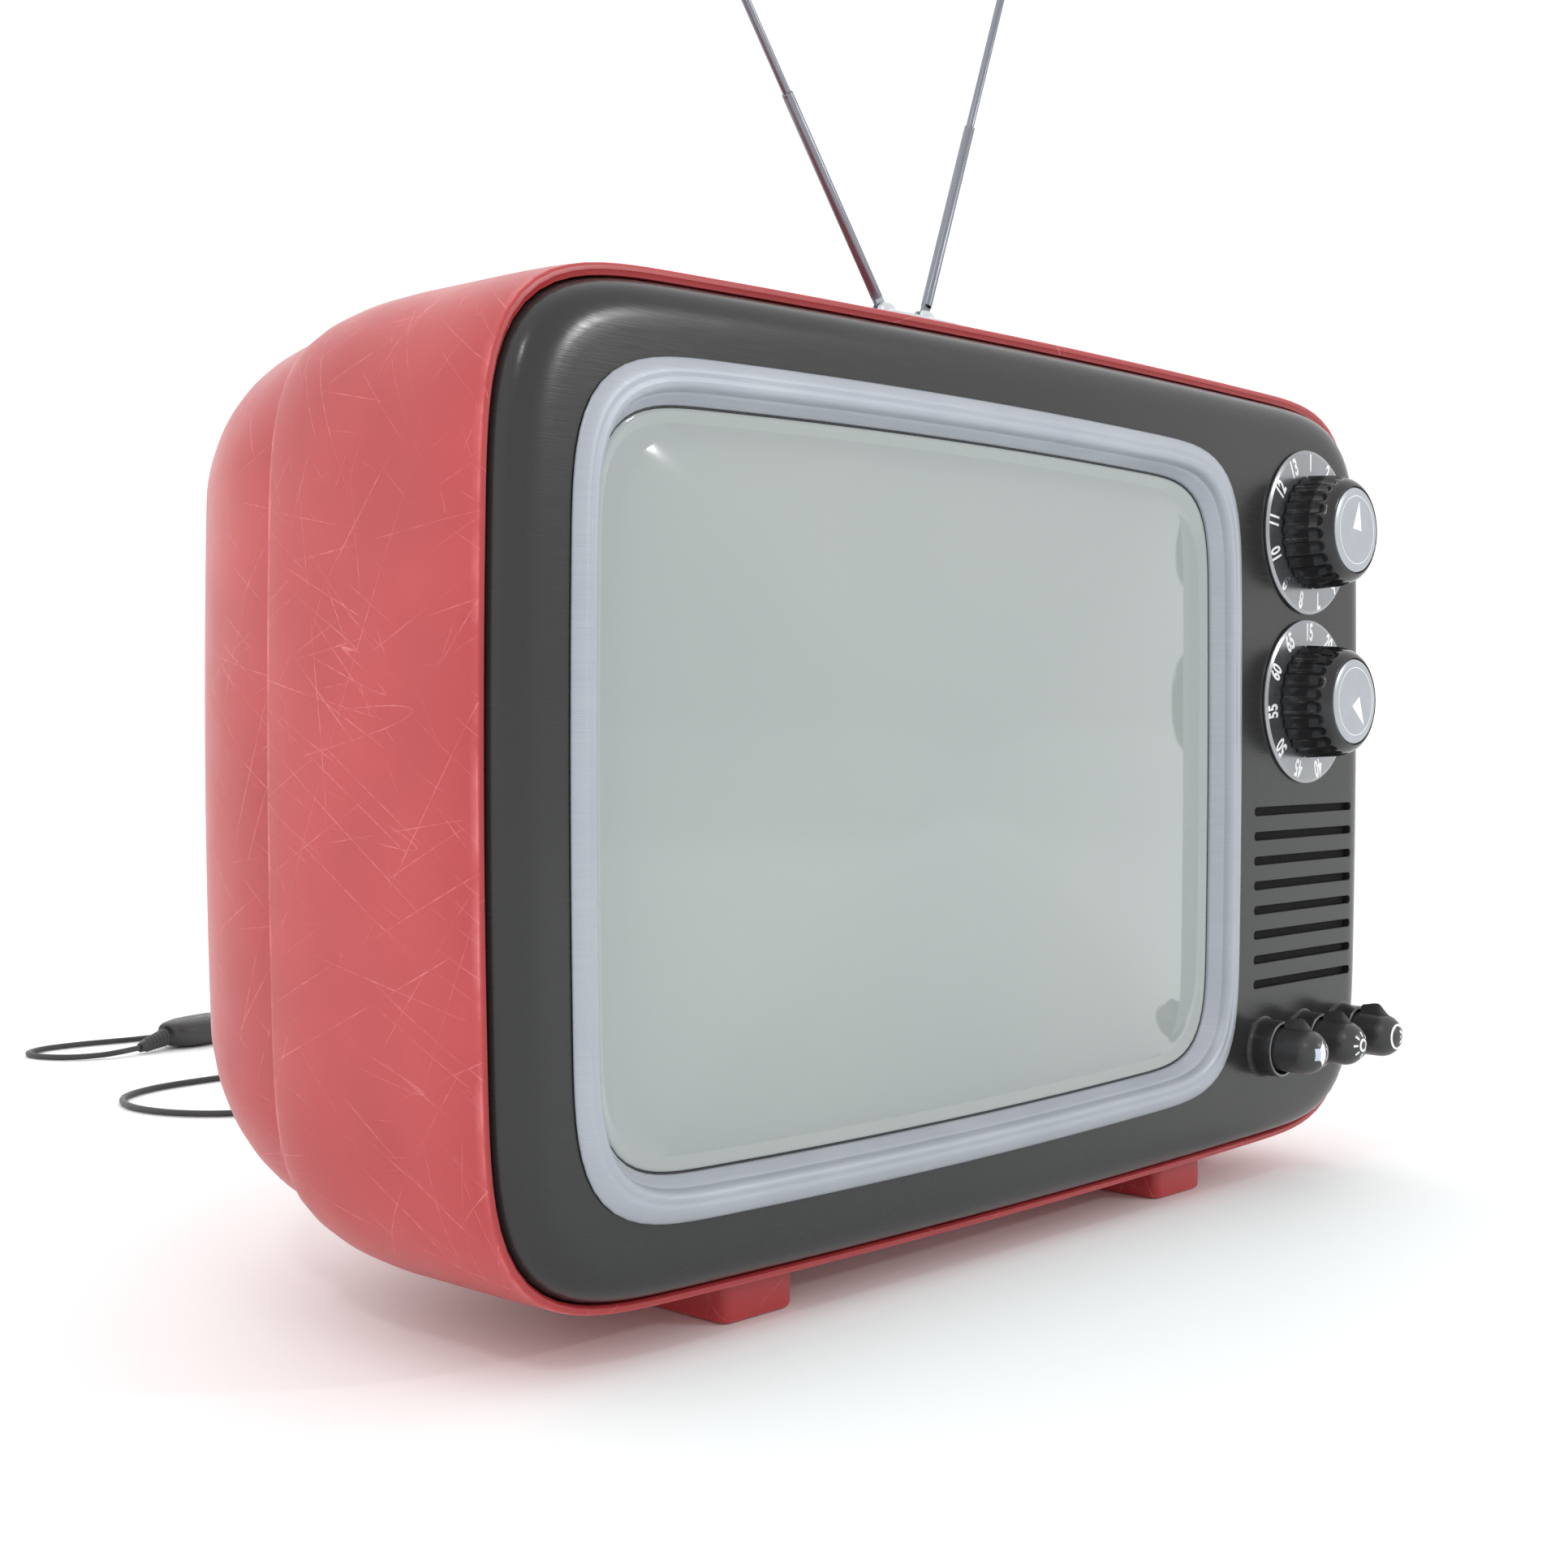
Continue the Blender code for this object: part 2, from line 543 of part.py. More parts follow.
def speaker():
    """Round speaker behind the sound slots."""
    z = SLOT_TOP_Z - SLOT_PITCH * (SLOT_COUNT - 1) / 2
    at = place(COLUMN_X, 0.0, z)
    front = PANEL_FACE + PANEL_THICK + GAP
    basket = [(0.0350, front), (0.0350, front + 0.0016), (0.0325, front + 0.0018), (0.0205, 0.0120),
              (0.0205, 0.0138), (0.0120, 0.0138), (0.0120, 0.0124), (0.0190, 0.0108),
              (0.0308, front + 0.0010), (0.0312, front)]
    turned("speaker_basket", basket, STEEL, at, closed=True)
    cone = [(0.0302, front + 0.0002), (0.0268, front + 0.0006), (0.0100, 0.0070), (0.0010, 0.0050)]
    cone += [(0.0010, 0.0130), (0.0070, 0.0130), (0.0085, 0.0086), (0.0264, front + 0.0020)]
    turned("speaker_cone", cone, PAPER, at, closed=True)
    magnet = [(0.0190, 0.0141), (0.0190, 0.0250), (0.0175, 0.0262), (0.0175, 0.0280)]
    turned("speaker_magnet", magnet, STEEL, at)


def tuner(name, z, half, depth):
    """A folded steel tuner box behind a dial."""
    front = PANEL_FACE + PANEL_THICK + GAP
    box = block(name, (COLUMN_X - half, front, z - half), (COLUMN_X + half, depth, z + half), STEEL, 0.0015)
    cut(box, cylinder("tuner_bore", 0.0034, -0.012, 0.012, COLUMN_X, z, STEEL, 16))


def dial(prefix, z):
    """Dial plate, fluted knob with its silver cap, and the tuner shaft, all on one axis."""
    plate_back = PANEL_FACE - GAP
    plate = [(0.0050, plate_back), (DIAL_RADIUS, plate_back), (DIAL_RADIUS, plate_back - 0.0008),
             (DIAL_RADIUS - 0.0006, plate_back - 0.0013), (0.0050, plate_back - 0.0013)]
    turned(f"{prefix}_dial_plate", plate, SILVER, place(COLUMN_X, 0.0, z), closed=True, count=32)
    axis = place(COLUMN_X, 0.0, z)
    knob_back = plate_back - 0.0013 - 0.0004
    flutes = 26
    rings = []
    for y, radius, depth in ((knob_back, KNOB_RADIUS, 0.0008), (-0.0268, 0.0212, 0.0008),
                             (-0.0280, 0.0210, 0.0), (-0.0306, 0.0200, 0.0), (-0.0319, 0.0178, 0.0)):
        ring = []
        for i in range(2 * flutes):
            turn = math.pi * i / flutes
            r = radius - (depth if i % 2 else 0.0)
            ring.append(Vector((r * math.cos(turn), y, r * math.sin(turn))))
        rings.append(ring)
    knob = loft(f"{prefix}_knob", rings, BLACK)
    knob.location = axis
    recess = KNOB_CAP_RADIUS + 0.0005
    cut(knob, cylinder("cap_recess", recess, -0.040, KNOB_FRONT + 0.0022, COLUMN_X, z, BLACK, 26))
    cut(knob, cylinder("shaft_bore", 0.0034, -0.027, 0.0, COLUMN_X, z, BLACK, 12))
    cap = [(KNOB_CAP_RADIUS, KNOB_FRONT + 0.0019), (KNOB_CAP_RADIUS, KNOB_FRONT + 0.0004),
           (KNOB_CAP_RADIUS - 0.0007, KNOB_FRONT - 0.0001)]
    turned(f"{prefix}_knob_cap", cap, SILVER, axis, count=26)
    turned(f"{prefix}_shaft", [(0.0030, -0.0265), (0.0030, 0.0110)], STEEL, axis, count=12)


def small_control(prefix, x):
    """Domed control knob with a pointer fin, its shaft, and the potentiometer behind the panel."""
    axis = place(x, 0.0, CONTROL_Z)
    r = CONTROL_RADIUS
    profile = [(r - 0.0004, -0.0110), (r, CONTROL_DOME_Y + 0.0010)]
    for k in range(1, 5):
        turn = math.radians(19.5 * k)
        profile.append((r * math.cos(turn), CONTROL_DOME_Y - (r - 0.0001) * math.sin(turn)))
    knob = turned(f"{prefix}_knob", profile, DARK, axis, count=18)
    fin = bmesh.new()
    side = []
    for dx in (-1, 1):
        side.append([fin.verts.new((dx * 0.0021, y, 0.0070)) for y in (-0.0198, -0.0318)])
    ridge = [fin.verts.new((0.0, y, 0.0119)) for y in (-0.0210, -0.0272)]
    fin.faces.new((side[0][0], side[0][1], side[1][1], side[1][0]))
    fin.faces.new((side[0][0], ridge[0], ridge[1], side[0][1]))
    fin.faces.new((side[1][0], side[1][1], ridge[1], ridge[0]))
    fin.faces.new((side[0][0], side[1][0], ridge[0]))
    fin.faces.new((side[0][1], ridge[1], side[1][1]))
    wedge = finish_mesh("pointer_fin", fin, DARK)
    wedge.location = axis
    add(knob, wedge)
    cut(knob, cylinder("control_bore", 0.0023, -0.024, 0.0, x, CONTROL_Z, DARK, 8))
    turned(f"{prefix}_shaft", [(0.0020, -0.0235), (0.0020, -0.0020)], STEEL, axis, count=8)
    front = PANEL_FACE + PANEL_THICK + GAP
    body = [(0.0034, front), (0.0034, -0.0024), (0.0080, -0.0024), (0.0080, 0.0050), (0.0065, 0.0062)]
    pot = turned(f"{prefix}_potentiometer", body, STEEL, axis, count=12)
    cut(pot, cylinder("pot_bore", 0.0024, -0.010, -0.0016, x, CONTROL_Z, STEEL, 8))


# ------------------------------------------------------------------ antenna


def antenna_base():
    """Bevelled plate on top of the case, with a plug through the case wall and two swivel seats."""
    top = CASE_HEIGHT / 2
    base = block("antenna_base", (-0.0192, ANTENNA_Y - 0.0112, top + GAP + 0.0002),
                 (0.0192, ANTENNA_Y + 0.0112, top + 0.0112), SILVER, 0.0016)
    add(base, block("antenna_plug", (-0.0165, ANTENNA_Y - 0.0086, top - 0.012),
                    (0.0165, ANTENNA_Y + 0.0086, top + 0.004), SILVER))
    for side in (-1, 1):
        seat = upright("swivel_seat", [(0.0048, top + 0.0030), (0.0048, top + 0.02)], SILVER,
                       place(side * PIVOT_X, ANTENNA_Y, 0.0), 20)
        cut(base, seat)


def antenna_arm(prefix, side, tilt, yaw):
    """Swivel with its slot, and four telescopic stages on the tilt axis."""
    top = CASE_HEIGHT / 2
    at = place(side * PIVOT_X, ANTENNA_Y, top)
    profile = [(0.0045, 0.0033), (0.0045, 0.0122), (0.0041, 0.0138), (0.0031, 0.0150), (0.0015, 0.0156)]
    swivel = upright(f"{prefix}_swivel", profile, CHROME, at, 20)
    swivel.rotation_euler = (0.0, 0.0, yaw)
    slot = bmesh.new()
    bmesh.ops.create_cube(slot, size=1.0)
    bmesh.ops.scale(slot, vec=(0.0120, 0.0024, 0.0080), verts=slot.verts)
    slot = finish_mesh("swivel_slot", slot, CHROME)
    slot.location = at + Vector((0, 0, 0.0092 + 0.0040))
    slot.rotation_euler = (0.0, 0.0, yaw)
    cut(swivel, slot)
    pivot = at + Vector((0, 0, PIVOT_LIFT))
    lean = Matrix.Rotation(yaw, 4, "Z") @ Matrix.Rotation(tilt, 4, "Y")
    # The first stage starts as a flat blade with a round end, which fills the slot of the swivel.
    first_profile = [(ROD_RADII[0], 0.0056), (ROD_RADII[0], FIRST_STEP)]
    first = upright(f"{prefix}_rod_1", first_profile, CHROME, pivot, 10)
    first.matrix_world = Matrix.Translation(pivot) @ lean
    blade_points = []
    for k in range(9):
        turn = math.pi * (1 + k / 8)
        blade_points.append((0.0019 * math.cos(turn), 0.0019 * math.sin(turn)))
    blade_points += [(0.0019, 0.0075), (-0.0019, 0.0075)]
    rings = [[Vector((px, py, pz)) for px, pz in blade_points] for py in (-0.0008, 0.0008)]
    blade = loft("rod_blade", rings, CHROME)
    blade.matrix_world = first.matrix_world.copy()
    add(first, blade)
    bore = upright("rod_bore", [(ROD_BORES[0], 0.0100), (ROD_BORES[0], 0.2)], CHROME, pivot, 10)
    bore.matrix_world = first.matrix_world.copy()
    cut(first, bore)
    for stage in (2, 3, 4):
        end = FIRST_STEP + ROD_STEP * (stage - 1)
        start = end - ROD_LENGTH
        profile = [(ROD_RADII[stage - 1], start), (ROD_RADII[stage - 1], end)]
        if stage == 4:
            profile += [(0.0013, end + 0.0003), (0.0017, end + 0.0012), (0.0017, end + 0.0024),
                        (0.0009, end + 0.0034)]
        rod = upright(f"{prefix}_rod_{stage}", profile, CHROME, pivot, 10)
        rod.matrix_world = first.matrix_world.copy()
        if stage < 4:
            radius = ROD_BORES[stage - 1]
            bore = upright("rod_bore", [(radius, start + 0.004), (radius, end + 0.1)], CHROME, pivot, 10)
            bore.matrix_world = first.matrix_world.copy()
            cut(rod, bore)


# ------------------------------------------------------------------ rear fittings and mains lead
GLAND_X, GLAND_Z = 0.075, -0.031
GLAND_END = 0.222
TERMINAL_X, TERMINAL_Z = -0.112, 0.064
PLUG_TIP = Vector((0.0250, 0.6050, 0.0038))
PLUG_AXIS = Vector((0.966, 0.259, 0.0))

# The route of the lead, from the gland to the plug's strain relief: (X, Y behind the rim plane, height).
CORD_ROUTE = (
    (0.0750, GLAND_END, CENTRE_Z + GLAND_Z), (0.0752, 0.2340, 0.1300), (0.0762, 0.2530, 0.1180),
    (0.0785, 0.2740, 0.0880), (0.0820, 0.2900, 0.0520), (0.0880, 0.3060, 0.0210),
    (0.0990, 0.3220, 0.0050), (0.1180, 0.3350, 0.0017), (0.1550, 0.3400, 0.0017),
    (0.1950, 0.3460, 0.0017), (0.2200, 0.3620, 0.0017), (0.2240, 0.3900, 0.0017),
    (0.2020, 0.4120, 0.0017), (0.1560, 0.4180, 0.0017), (0.1000, 0.4100, 0.0017),
    (0.0450, 0.3990, 0.0017), (-0.0050, 0.3990, 0.0017), (-0.0419, 0.4110, 0.0017),
    (-0.0600, 0.4330, 0.0017), (-0.0645, 0.4600, 0.0017), (-0.0550, 0.4830, 0.0017),
    (-0.0330, 0.4960, 0.0017), (0.0064, 0.4996, 0.0017), (0.0600, 0.4960, 0.0017),
    (0.1150, 0.4930, 0.0017), (0.1700, 0.4950, 0.0017), (0.2080, 0.5070, 0.0017),
    (0.2180, 0.5310, 0.0017), (0.2020, 0.5530, 0.0017), (0.1680, 0.5630, 0.0017),
    (0.1480, 0.5790, 0.0017), (0.1600, 0.5980, 0.0017), (0.1930, 0.6070, 0.0017),
    (0.2120, 0.6270, 0.0017), (0.1980, 0.6480, 0.0017), (0.1600, 0.6570, 0.0017),
    (0.1200, 0.6560, 0.0017), (0.0850, 0.6510, 0.0017), (0.0521, 0.6475, 0.0017),
    (0.0166, 0.6530, 0.0017), (-0.0060, 0.6520, 0.0017), (-0.0190, 0.6430, 0.0017),
    (-0.0190, 0.6280, 0.0017), (-0.0100, 0.6140, 0.0018), (0.0035, 0.6055, 0.0024),
    (0.0145, 0.6032, 0.0033), (0.0247, 0.6049, 0.0038),
)


def smooth_route(route, per_span=24):
    """A centripetal Catmull-Rom curve through the route's points."""
    knots = [Vector(p) for p in route]
    knots = [2 * knots[0] - knots[1]] + knots + [2 * knots[-1] - knots[-2]]
    points = []
    for a, b, c, d in zip(knots, knots[1:], knots[2:], knots[3:]):
        t1 = (b - a).length ** 0.5
        t2 = t1 + (c - b).length ** 0.5
        t3 = t2 + (d - c).length ** 0.5
        for k in range(per_span):
            t = t1 + (t2 - t1) * k / per_span
            ab = a.lerp(b, t / t1)
            bc = b.lerp(c, (t - t1) / (t2 - t1))
            cd = c.lerp(d, (t - t2) / (t3 - t2))
            abc = ab.lerp(bc, t / t2)
            bcd = bc.lerp(cd, (t - t1) / (t3 - t1))
            points.append(abc.lerp(bcd, (t - t1) / (t2 - t1)))
    points.append(knots[-2])
    return points


def evenly(points, count):
    """Pick points so that each stands for the same share of length and turning."""
    weights = [0.0]
    for i in range(1, len(points)):
        step = points[i] - points[i - 1]
        bend = 0.0
        if i + 1 < len(points):
            bend = step.angle(points[i + 1] - points[i], 0.0)
        weights.append(weights[-1] + step.length + 0.016 * bend)
    picked = []
    for k in range(count):
        wanted = weights[-1] * k / (count - 1)
        index = min(range(len(weights)), key=lambda i: abs(weights[i] - wanted))
        picked.append(points[index])
    return picked


def power_cord():
    """The mains lead as a plain tube along its whole route."""
    curve = bpy.data.curves.new("power_cord", "CURVE")
    curve.dimensions = "3D"
    curve.bevel_depth = CORD_DIAMETER / 2
    curve.bevel_resolution = 2
    curve.use_fill_caps = True
    points = evenly(smooth_route(CORD_ROUTE), CORD_POINTS)
    spline = curve.splines.new("POLY")
    spline.points.add(len(points) - 1)
    for slot, point in zip(spline.points, points):
        slot.co = (point.x, FRONT_Y + point.y, max(point.z, CORD_REST_Z), 1.0)
    curve.materials.append(RUBBER)
    made = bpy.data.objects.new("power_cord", curve)
    bpy.context.collection.objects.link(made)


def cord_gland():
    """Bush in the rear face, with a tapered boot."""
    wall_back = SHELL_DEPTH + REAR_DEPTH + 2 * GAP
    profile = [(0.0052, wall_back - 0.0056), (0.0052, wall_back), (0.0080, wall_back),
               (0.0080, wall_back + 0.0018), (0.0058, wall_back + 0.0030), (0.0048, 0.2060),
               (0.0034, 0.2150), (0.0026, GLAND_END - GAP)]
    turned("cord_gland", profile, RUBBER, place(GLAND_X, 0.0, GLAND_Z))


def mains_plug():
    """Moulded plug body that tapers into a ribbed strain relief, and its two flat pins."""
    side = Vector((0, 0, 1)).cross(PLUG_AXIS)
    up = Vector((0, 0, 1))
    tip = PLUG_TIP + Vector((0, FRONT_Y, 0))
    sections = [(0.0, 0.0026, 0.0026, 0.0), (0.004, 0.0029, 0.0029, 0.0006), (0.020, 0.0048, 0.0048, 0.0036),
                (0.0225, 0.0062, 0.0056, 0.0040), (0.028, 0.0110, 0.0070, 0.0041),
                (0.036, 0.0132, 0.0078, 0.0042), (0.055, 0.0132, 0.0078, 0.0042),
                (0.061, 0.0120, 0.0074, 0.0042)]
    rings = []
    for along, half_width, half_height, rise in sections:
        ring = []
        for k in range(16):
            turn = 2 * math.pi * k / 16
            power = 2.0 if along < 0.021 else 2.6
            c, s = math.cos(turn), math.sin(turn)
            a = half_width * abs(c) ** (2 / power) * (1 if c >= 0 else -1)
            b = half_height * abs(s) ** (2 / power) * (1 if s >= 0 else -1)
            ring.append(tip + PLUG_AXIS * (along + 0.0003) + side * a + up * (b + rise))
        rings.append(ring)
    plug = loft("mains_plug", rings, RUBBER)
    for name, shift in (("left", -0.0063), ("right", 0.0063)):
        pin = []
        pocket = []
        centre = tip + side * shift + up * 0.0042
        for along, grow in ((0.0550, 0.0), (0.0773, 0.0)):
            pin.append([centre + PLUG_AXIS * along + side * (a * 0.0008) + up * (b * 0.0032)
                        for a, b in ((-1, -1), (1, -1), (1, 1), (-1, 1))])
        for along in (0.0547, 0.0900):
            pocket.append([centre + PLUG_AXIS * along + side * (a * 0.0011) + up * (b * 0.0035)
                           for a, b in ((-1, -1), (1, -1), (1, 1), (-1, 1))])
        cut(plug, loft("pin_pocket", pocket, RUBBER))
        loft(f"plug_pin_{name}", pin, BRASS)


def antenna_terminal():
    """Screw terminal strip for an outdoor antenna, on the rear face."""
    strip = block("antenna_terminal_strip", (TERMINAL_X - 0.010, 0.1940, TERMINAL_Z - 0.0045),
                  (TERMINAL_X + 0.010, 0.1968, TERMINAL_Z + 0.0045), BLACK, 0.0006)
    for side in (-1, 1):
        x = TERMINAL_X + side * 0.0055
        add(strip, cylinder("terminal_screw", 0.0024, 0.1960, 0.1985, x, TERMINAL_Z, STEEL, 12))


# ------------------------------------------------------------------ assembly
cabinet_shell()
rear_cover()
rear_cover_screws()
feet()
front_panel()
screen_frame()
picture_tube()
tube_band()
tube_neck_parts()
chassis()
speaker()
tuner("vhf_tuner", DIAL_Z[0], 0.022, 0.060)
tuner("uhf_tuner", DIAL_Z[1], 0.020, 0.045)
dial("vhf", DIAL_Z[0])
dial("uhf", DIAL_Z[1])
for control_name, step in (("volume", -1), ("brightness", 0), ("contrast", 1)):
    small_control(control_name, COLUMN_X + step * CONTROL_PITCH)
antenna_base()
antenna_arm("left", -1, LEFT_TILT, LEFT_YAW)
antenna_arm("right", 1, RIGHT_TILT, RIGHT_YAW)
antenna_terminal()
cord_gland()
power_cord()
mains_plug()
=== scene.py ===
"""Portable tube television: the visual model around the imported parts, with materials, light and camera."""
import math

import bmesh
import bpy
from mathutils import Matrix, Vector


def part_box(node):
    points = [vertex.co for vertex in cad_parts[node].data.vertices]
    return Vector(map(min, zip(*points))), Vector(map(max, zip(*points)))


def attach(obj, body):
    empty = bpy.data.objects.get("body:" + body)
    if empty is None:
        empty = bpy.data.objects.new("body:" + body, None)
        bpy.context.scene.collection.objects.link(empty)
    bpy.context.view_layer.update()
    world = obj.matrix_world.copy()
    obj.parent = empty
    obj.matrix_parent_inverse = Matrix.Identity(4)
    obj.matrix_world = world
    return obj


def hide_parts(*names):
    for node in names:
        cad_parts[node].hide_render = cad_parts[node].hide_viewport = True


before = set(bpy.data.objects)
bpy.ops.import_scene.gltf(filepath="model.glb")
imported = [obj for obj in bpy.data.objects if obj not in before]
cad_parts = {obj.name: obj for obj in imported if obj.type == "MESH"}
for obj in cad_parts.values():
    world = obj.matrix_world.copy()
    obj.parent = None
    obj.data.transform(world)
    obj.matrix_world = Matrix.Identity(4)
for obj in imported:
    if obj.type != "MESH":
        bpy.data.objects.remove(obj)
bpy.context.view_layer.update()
scene = bpy.context.scene

# ------------------------------------------------------------------ driving dimensions, read from the frame
shell_low, shell_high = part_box("cabinet_shell")
RIM, RIM_Y = 0.0021, -0.0023               # width and front face of the red edge around the panel
FRONT_Y = shell_low.y - RIM_Y
CASE_WIDTH = shell_high.x - shell_low.x
CASE_HEIGHT = 0.300
CENTRE_Z = shell_high.z - CASE_HEIGHT / 2
CORNER, CORNER_POWER = 0.078, 4.0
CASE_BOW = (0.0148, 0.0248)
UNDER_LIFT = 0.0013
RIM_DRAW = (0.00135, 0.0005)               # how far the sides and the top pull in at the front
EDGE_DRAW = (0.0023, 0.0044, 0.0061)       # the same at the seam, and the underside
COVER_DRAW = (0.0067, 0.0050, 0.0092)      # where the rear cover starts: sides, top, underside
PANEL_INSET = 0.0043
PANEL_FACE = -0.0102
FRAME_CENTRE_X = -0.0382
FRAME_HALF = (0.1691, 0.1239)
FRAME_CORNER = 0.0611
FRAME_BOW = (0.0112, 0.0265)
LIP_INSET = 0.0125
COLUMN_X = 0.1797
DIAL_Z = (0.0937, 0.0270)
CONTROL_Z, CONTROL_PITCH = -0.1072, 0.030
SHELL_DEPTH, REAR_DEPTH, TOTAL_DEPTH = 0.096, 0.0975, 0.261
WALL = 0.003
GAP = 0.0003


def place(x, y, z):
    """A point given from the centre of the case front, in the row frame."""
    return Vector((x, FRONT_Y + y, CENTRE_Z + z))


# ------------------------------------------------------------------ camera
CAMERA_AT = (-0.59364, -0.56109, 0.18408)
CAMERA_DOWN, CAMERA_TURN = 1.84, 46.97     # degrees below the horizontal, and away from +Y towards +X

camera = bpy.data.objects.new("camera", bpy.data.cameras.new("camera"))
scene.collection.objects.link(camera)
camera.data.lens = 50.0
camera.data.sensor_width = 36.0
camera.data.clip_start = 0.01
camera.location = CAMERA_AT
camera.rotation_euler = (math.radians(90.0 - CAMERA_DOWN), 0.0, math.radians(-CAMERA_TURN))
scene.camera = camera
scene.view_settings.view_transform = "Standard"


# ------------------------------------------------------------------ node materials
class Look:
    """A node material: one Principled shader, and short calls that add nodes to it."""

    def __init__(self, name, colour, roughness, metallic=0.0, **more):
        self.material = bpy.data.materials.new(name)
        self.material.use_nodes = True
        self.tree = self.material.node_tree
        self.shader = self.tree.nodes["Principled BSDF"]
        self.colour = (*colour, 1.0)
        self.set("Base Color", self.colour)
        self.set("Roughness", roughness)
        self.set("Metallic", metallic)
        for socket, value in more.items():
            self.set(socket.replace("_", " "), value)
        self.where = self.tree.nodes.new("ShaderNodeTexCoord").outputs["Object"]

    def set(self, socket, value):
        self.shader.inputs[socket].default_value = value

    def feed(self, socket, source):
        self.tree.links.new(source, self.shader.inputs[socket])

    def node(self, kind, inputs, **settings):
        made = self.tree.nodes.new("ShaderNode" + kind)
        for key, value in settings.items():
            setattr(made, key, value)
        for key, value in inputs.items():
            if isinstance(value, bpy.types.NodeSocket):
                self.tree.links.new(value, made.inputs[key])
            else:
                made.inputs[key].default_value = value
        return made

    def noise(self, size, detail=2.0, shift=0.0):
        """Noise whose features are `size` metres long, the same along all axes or given for each."""
        size = (size,) * 3 if isinstance(size, float) else size
        spot = self.node("Mapping", {0: self.where, 1: (shift,) * 3, 3: size}, vector_type="TEXTURE")
        made = self.node("TexNoise", {"Vector": spot.outputs[0], "Scale": 1.0, "Detail": detail})
        return made.outputs[0]

    def fit(self, value, low, high, to_low=0.0, to_high=1.0):
        return self.node("MapRange", {0: value, 1: low, 2: high, 3: to_low, 4: to_high}).outputs[0]

    def maths(self, operation, a, b=0.0):
        return self.node("Math", {0: a, 1: b}, operation=operation).outputs[0]

    def mix(self, share, a, b):
        return self.node("Mix", {0: share, 6: a, 7: b}, data_type="RGBA").outputs[2]

    def mark(self, name):
        """A value stored on the mesh's points."""
        return self.node("Attribute", {}, attribute_name=name).outputs["Fac"]

    def bump(self, height, distance, strength=1.0):
        made = self.node("Bump", {"Height": height, "Distance": distance, "Strength": strength})
        self.feed("Normal", made.outputs[0])

    def drift(self, size, darker, lighter, detail=2.0):
        """A colour that wanders between two others in soft patches."""
        return self.mix(self.fit(self.noise(size, detail), 0.3, 0.7), (*darker, 1.0), (*lighter, 1.0))

    def mottle(self, size, amount):
        """Lets the colour drift a little around its own value."""
        darker = tuple(c * (1 - amount) for c in self.colour[:3])
        lighter = tuple(min(1.0, c * (1 + amount)) for c in self.colour[:3])
        self.feed("Base Color", self.drift(size, darker, lighter))

    def gloss(self, size, low, high, detail=2.0):
        """Lets the roughness wander between two values."""
        self.feed("Roughness", self.fit(self.noise(size, detail), 0.3, 0.7, low, high))


def scratch_lines(look, facing, layers, half_width):
    """Long thin scratches on the surfaces that face the axis `facing`. Each layer has its own direction."""
    normal = look.node("NewGeometry", {}).outputs["Normal"]
    parts = look.node("SeparateXYZ", {0: normal}).outputs[facing]
    on_face = look.fit(look.maths("ABSOLUTE", parts), 0.45, 0.7)
    probe = 0.05
    total = None
    for number, (turn, spacing) in enumerate(layers):
        size = {0: (0.9, 0.5, spacing), 1: (0.5, 0.9, spacing), 2: (0.5, spacing, 0.9)}[facing]
        across = (0.0, probe, 0.0) if facing == 2 else (0.0, 0.0, probe)
        turns = [0.0, 0.0, 0.0]
        turns[facing] = math.radians(turn)
        shift = 0.31 * (number + 1) + facing
        spot = look.node("Mapping", {0: look.where, 1: (shift,) * 3, 2: turns, 3: size},
                         vector_type="TEXTURE").outputs[0]
        beside = look.node("VectorMath", {0: spot, 1: across}, operation="ADD").outputs[0]
        here, there = (look.node("TexNoise", {"Vector": v, "Scale": 1.0, "Detail": 0.0}).outputs[0]
                       for v in (spot, beside))
        slope = look.maths("MAXIMUM", look.maths("ABSOLUTE", look.maths("SUBTRACT", there, here)), 0.002)
        away = look.maths("DIVIDE", look.maths("ABSOLUTE", look.maths("SUBTRACT", here, 0.5)), slope)
        reach = half_width / (spacing * probe)
        line = look.fit(away, reach * 0.35, reach, 1.0, 0.0)
        keep = look.fit(look.noise(0.040, shift=0.17 * (number + 1) + facing), 0.50, 0.66)
        line = look.maths("MULTIPLY", line, keep)
        total = line if total is None else look.maths("MAXIMUM", total, line)
    beads = look.fit(look.noise(0.0030, 1.0), 0.38, 0.60, 0.25, 1.0)
    return look.maths("MULTIPLY", look.maths("MULTIPLY", total, beads), on_face)


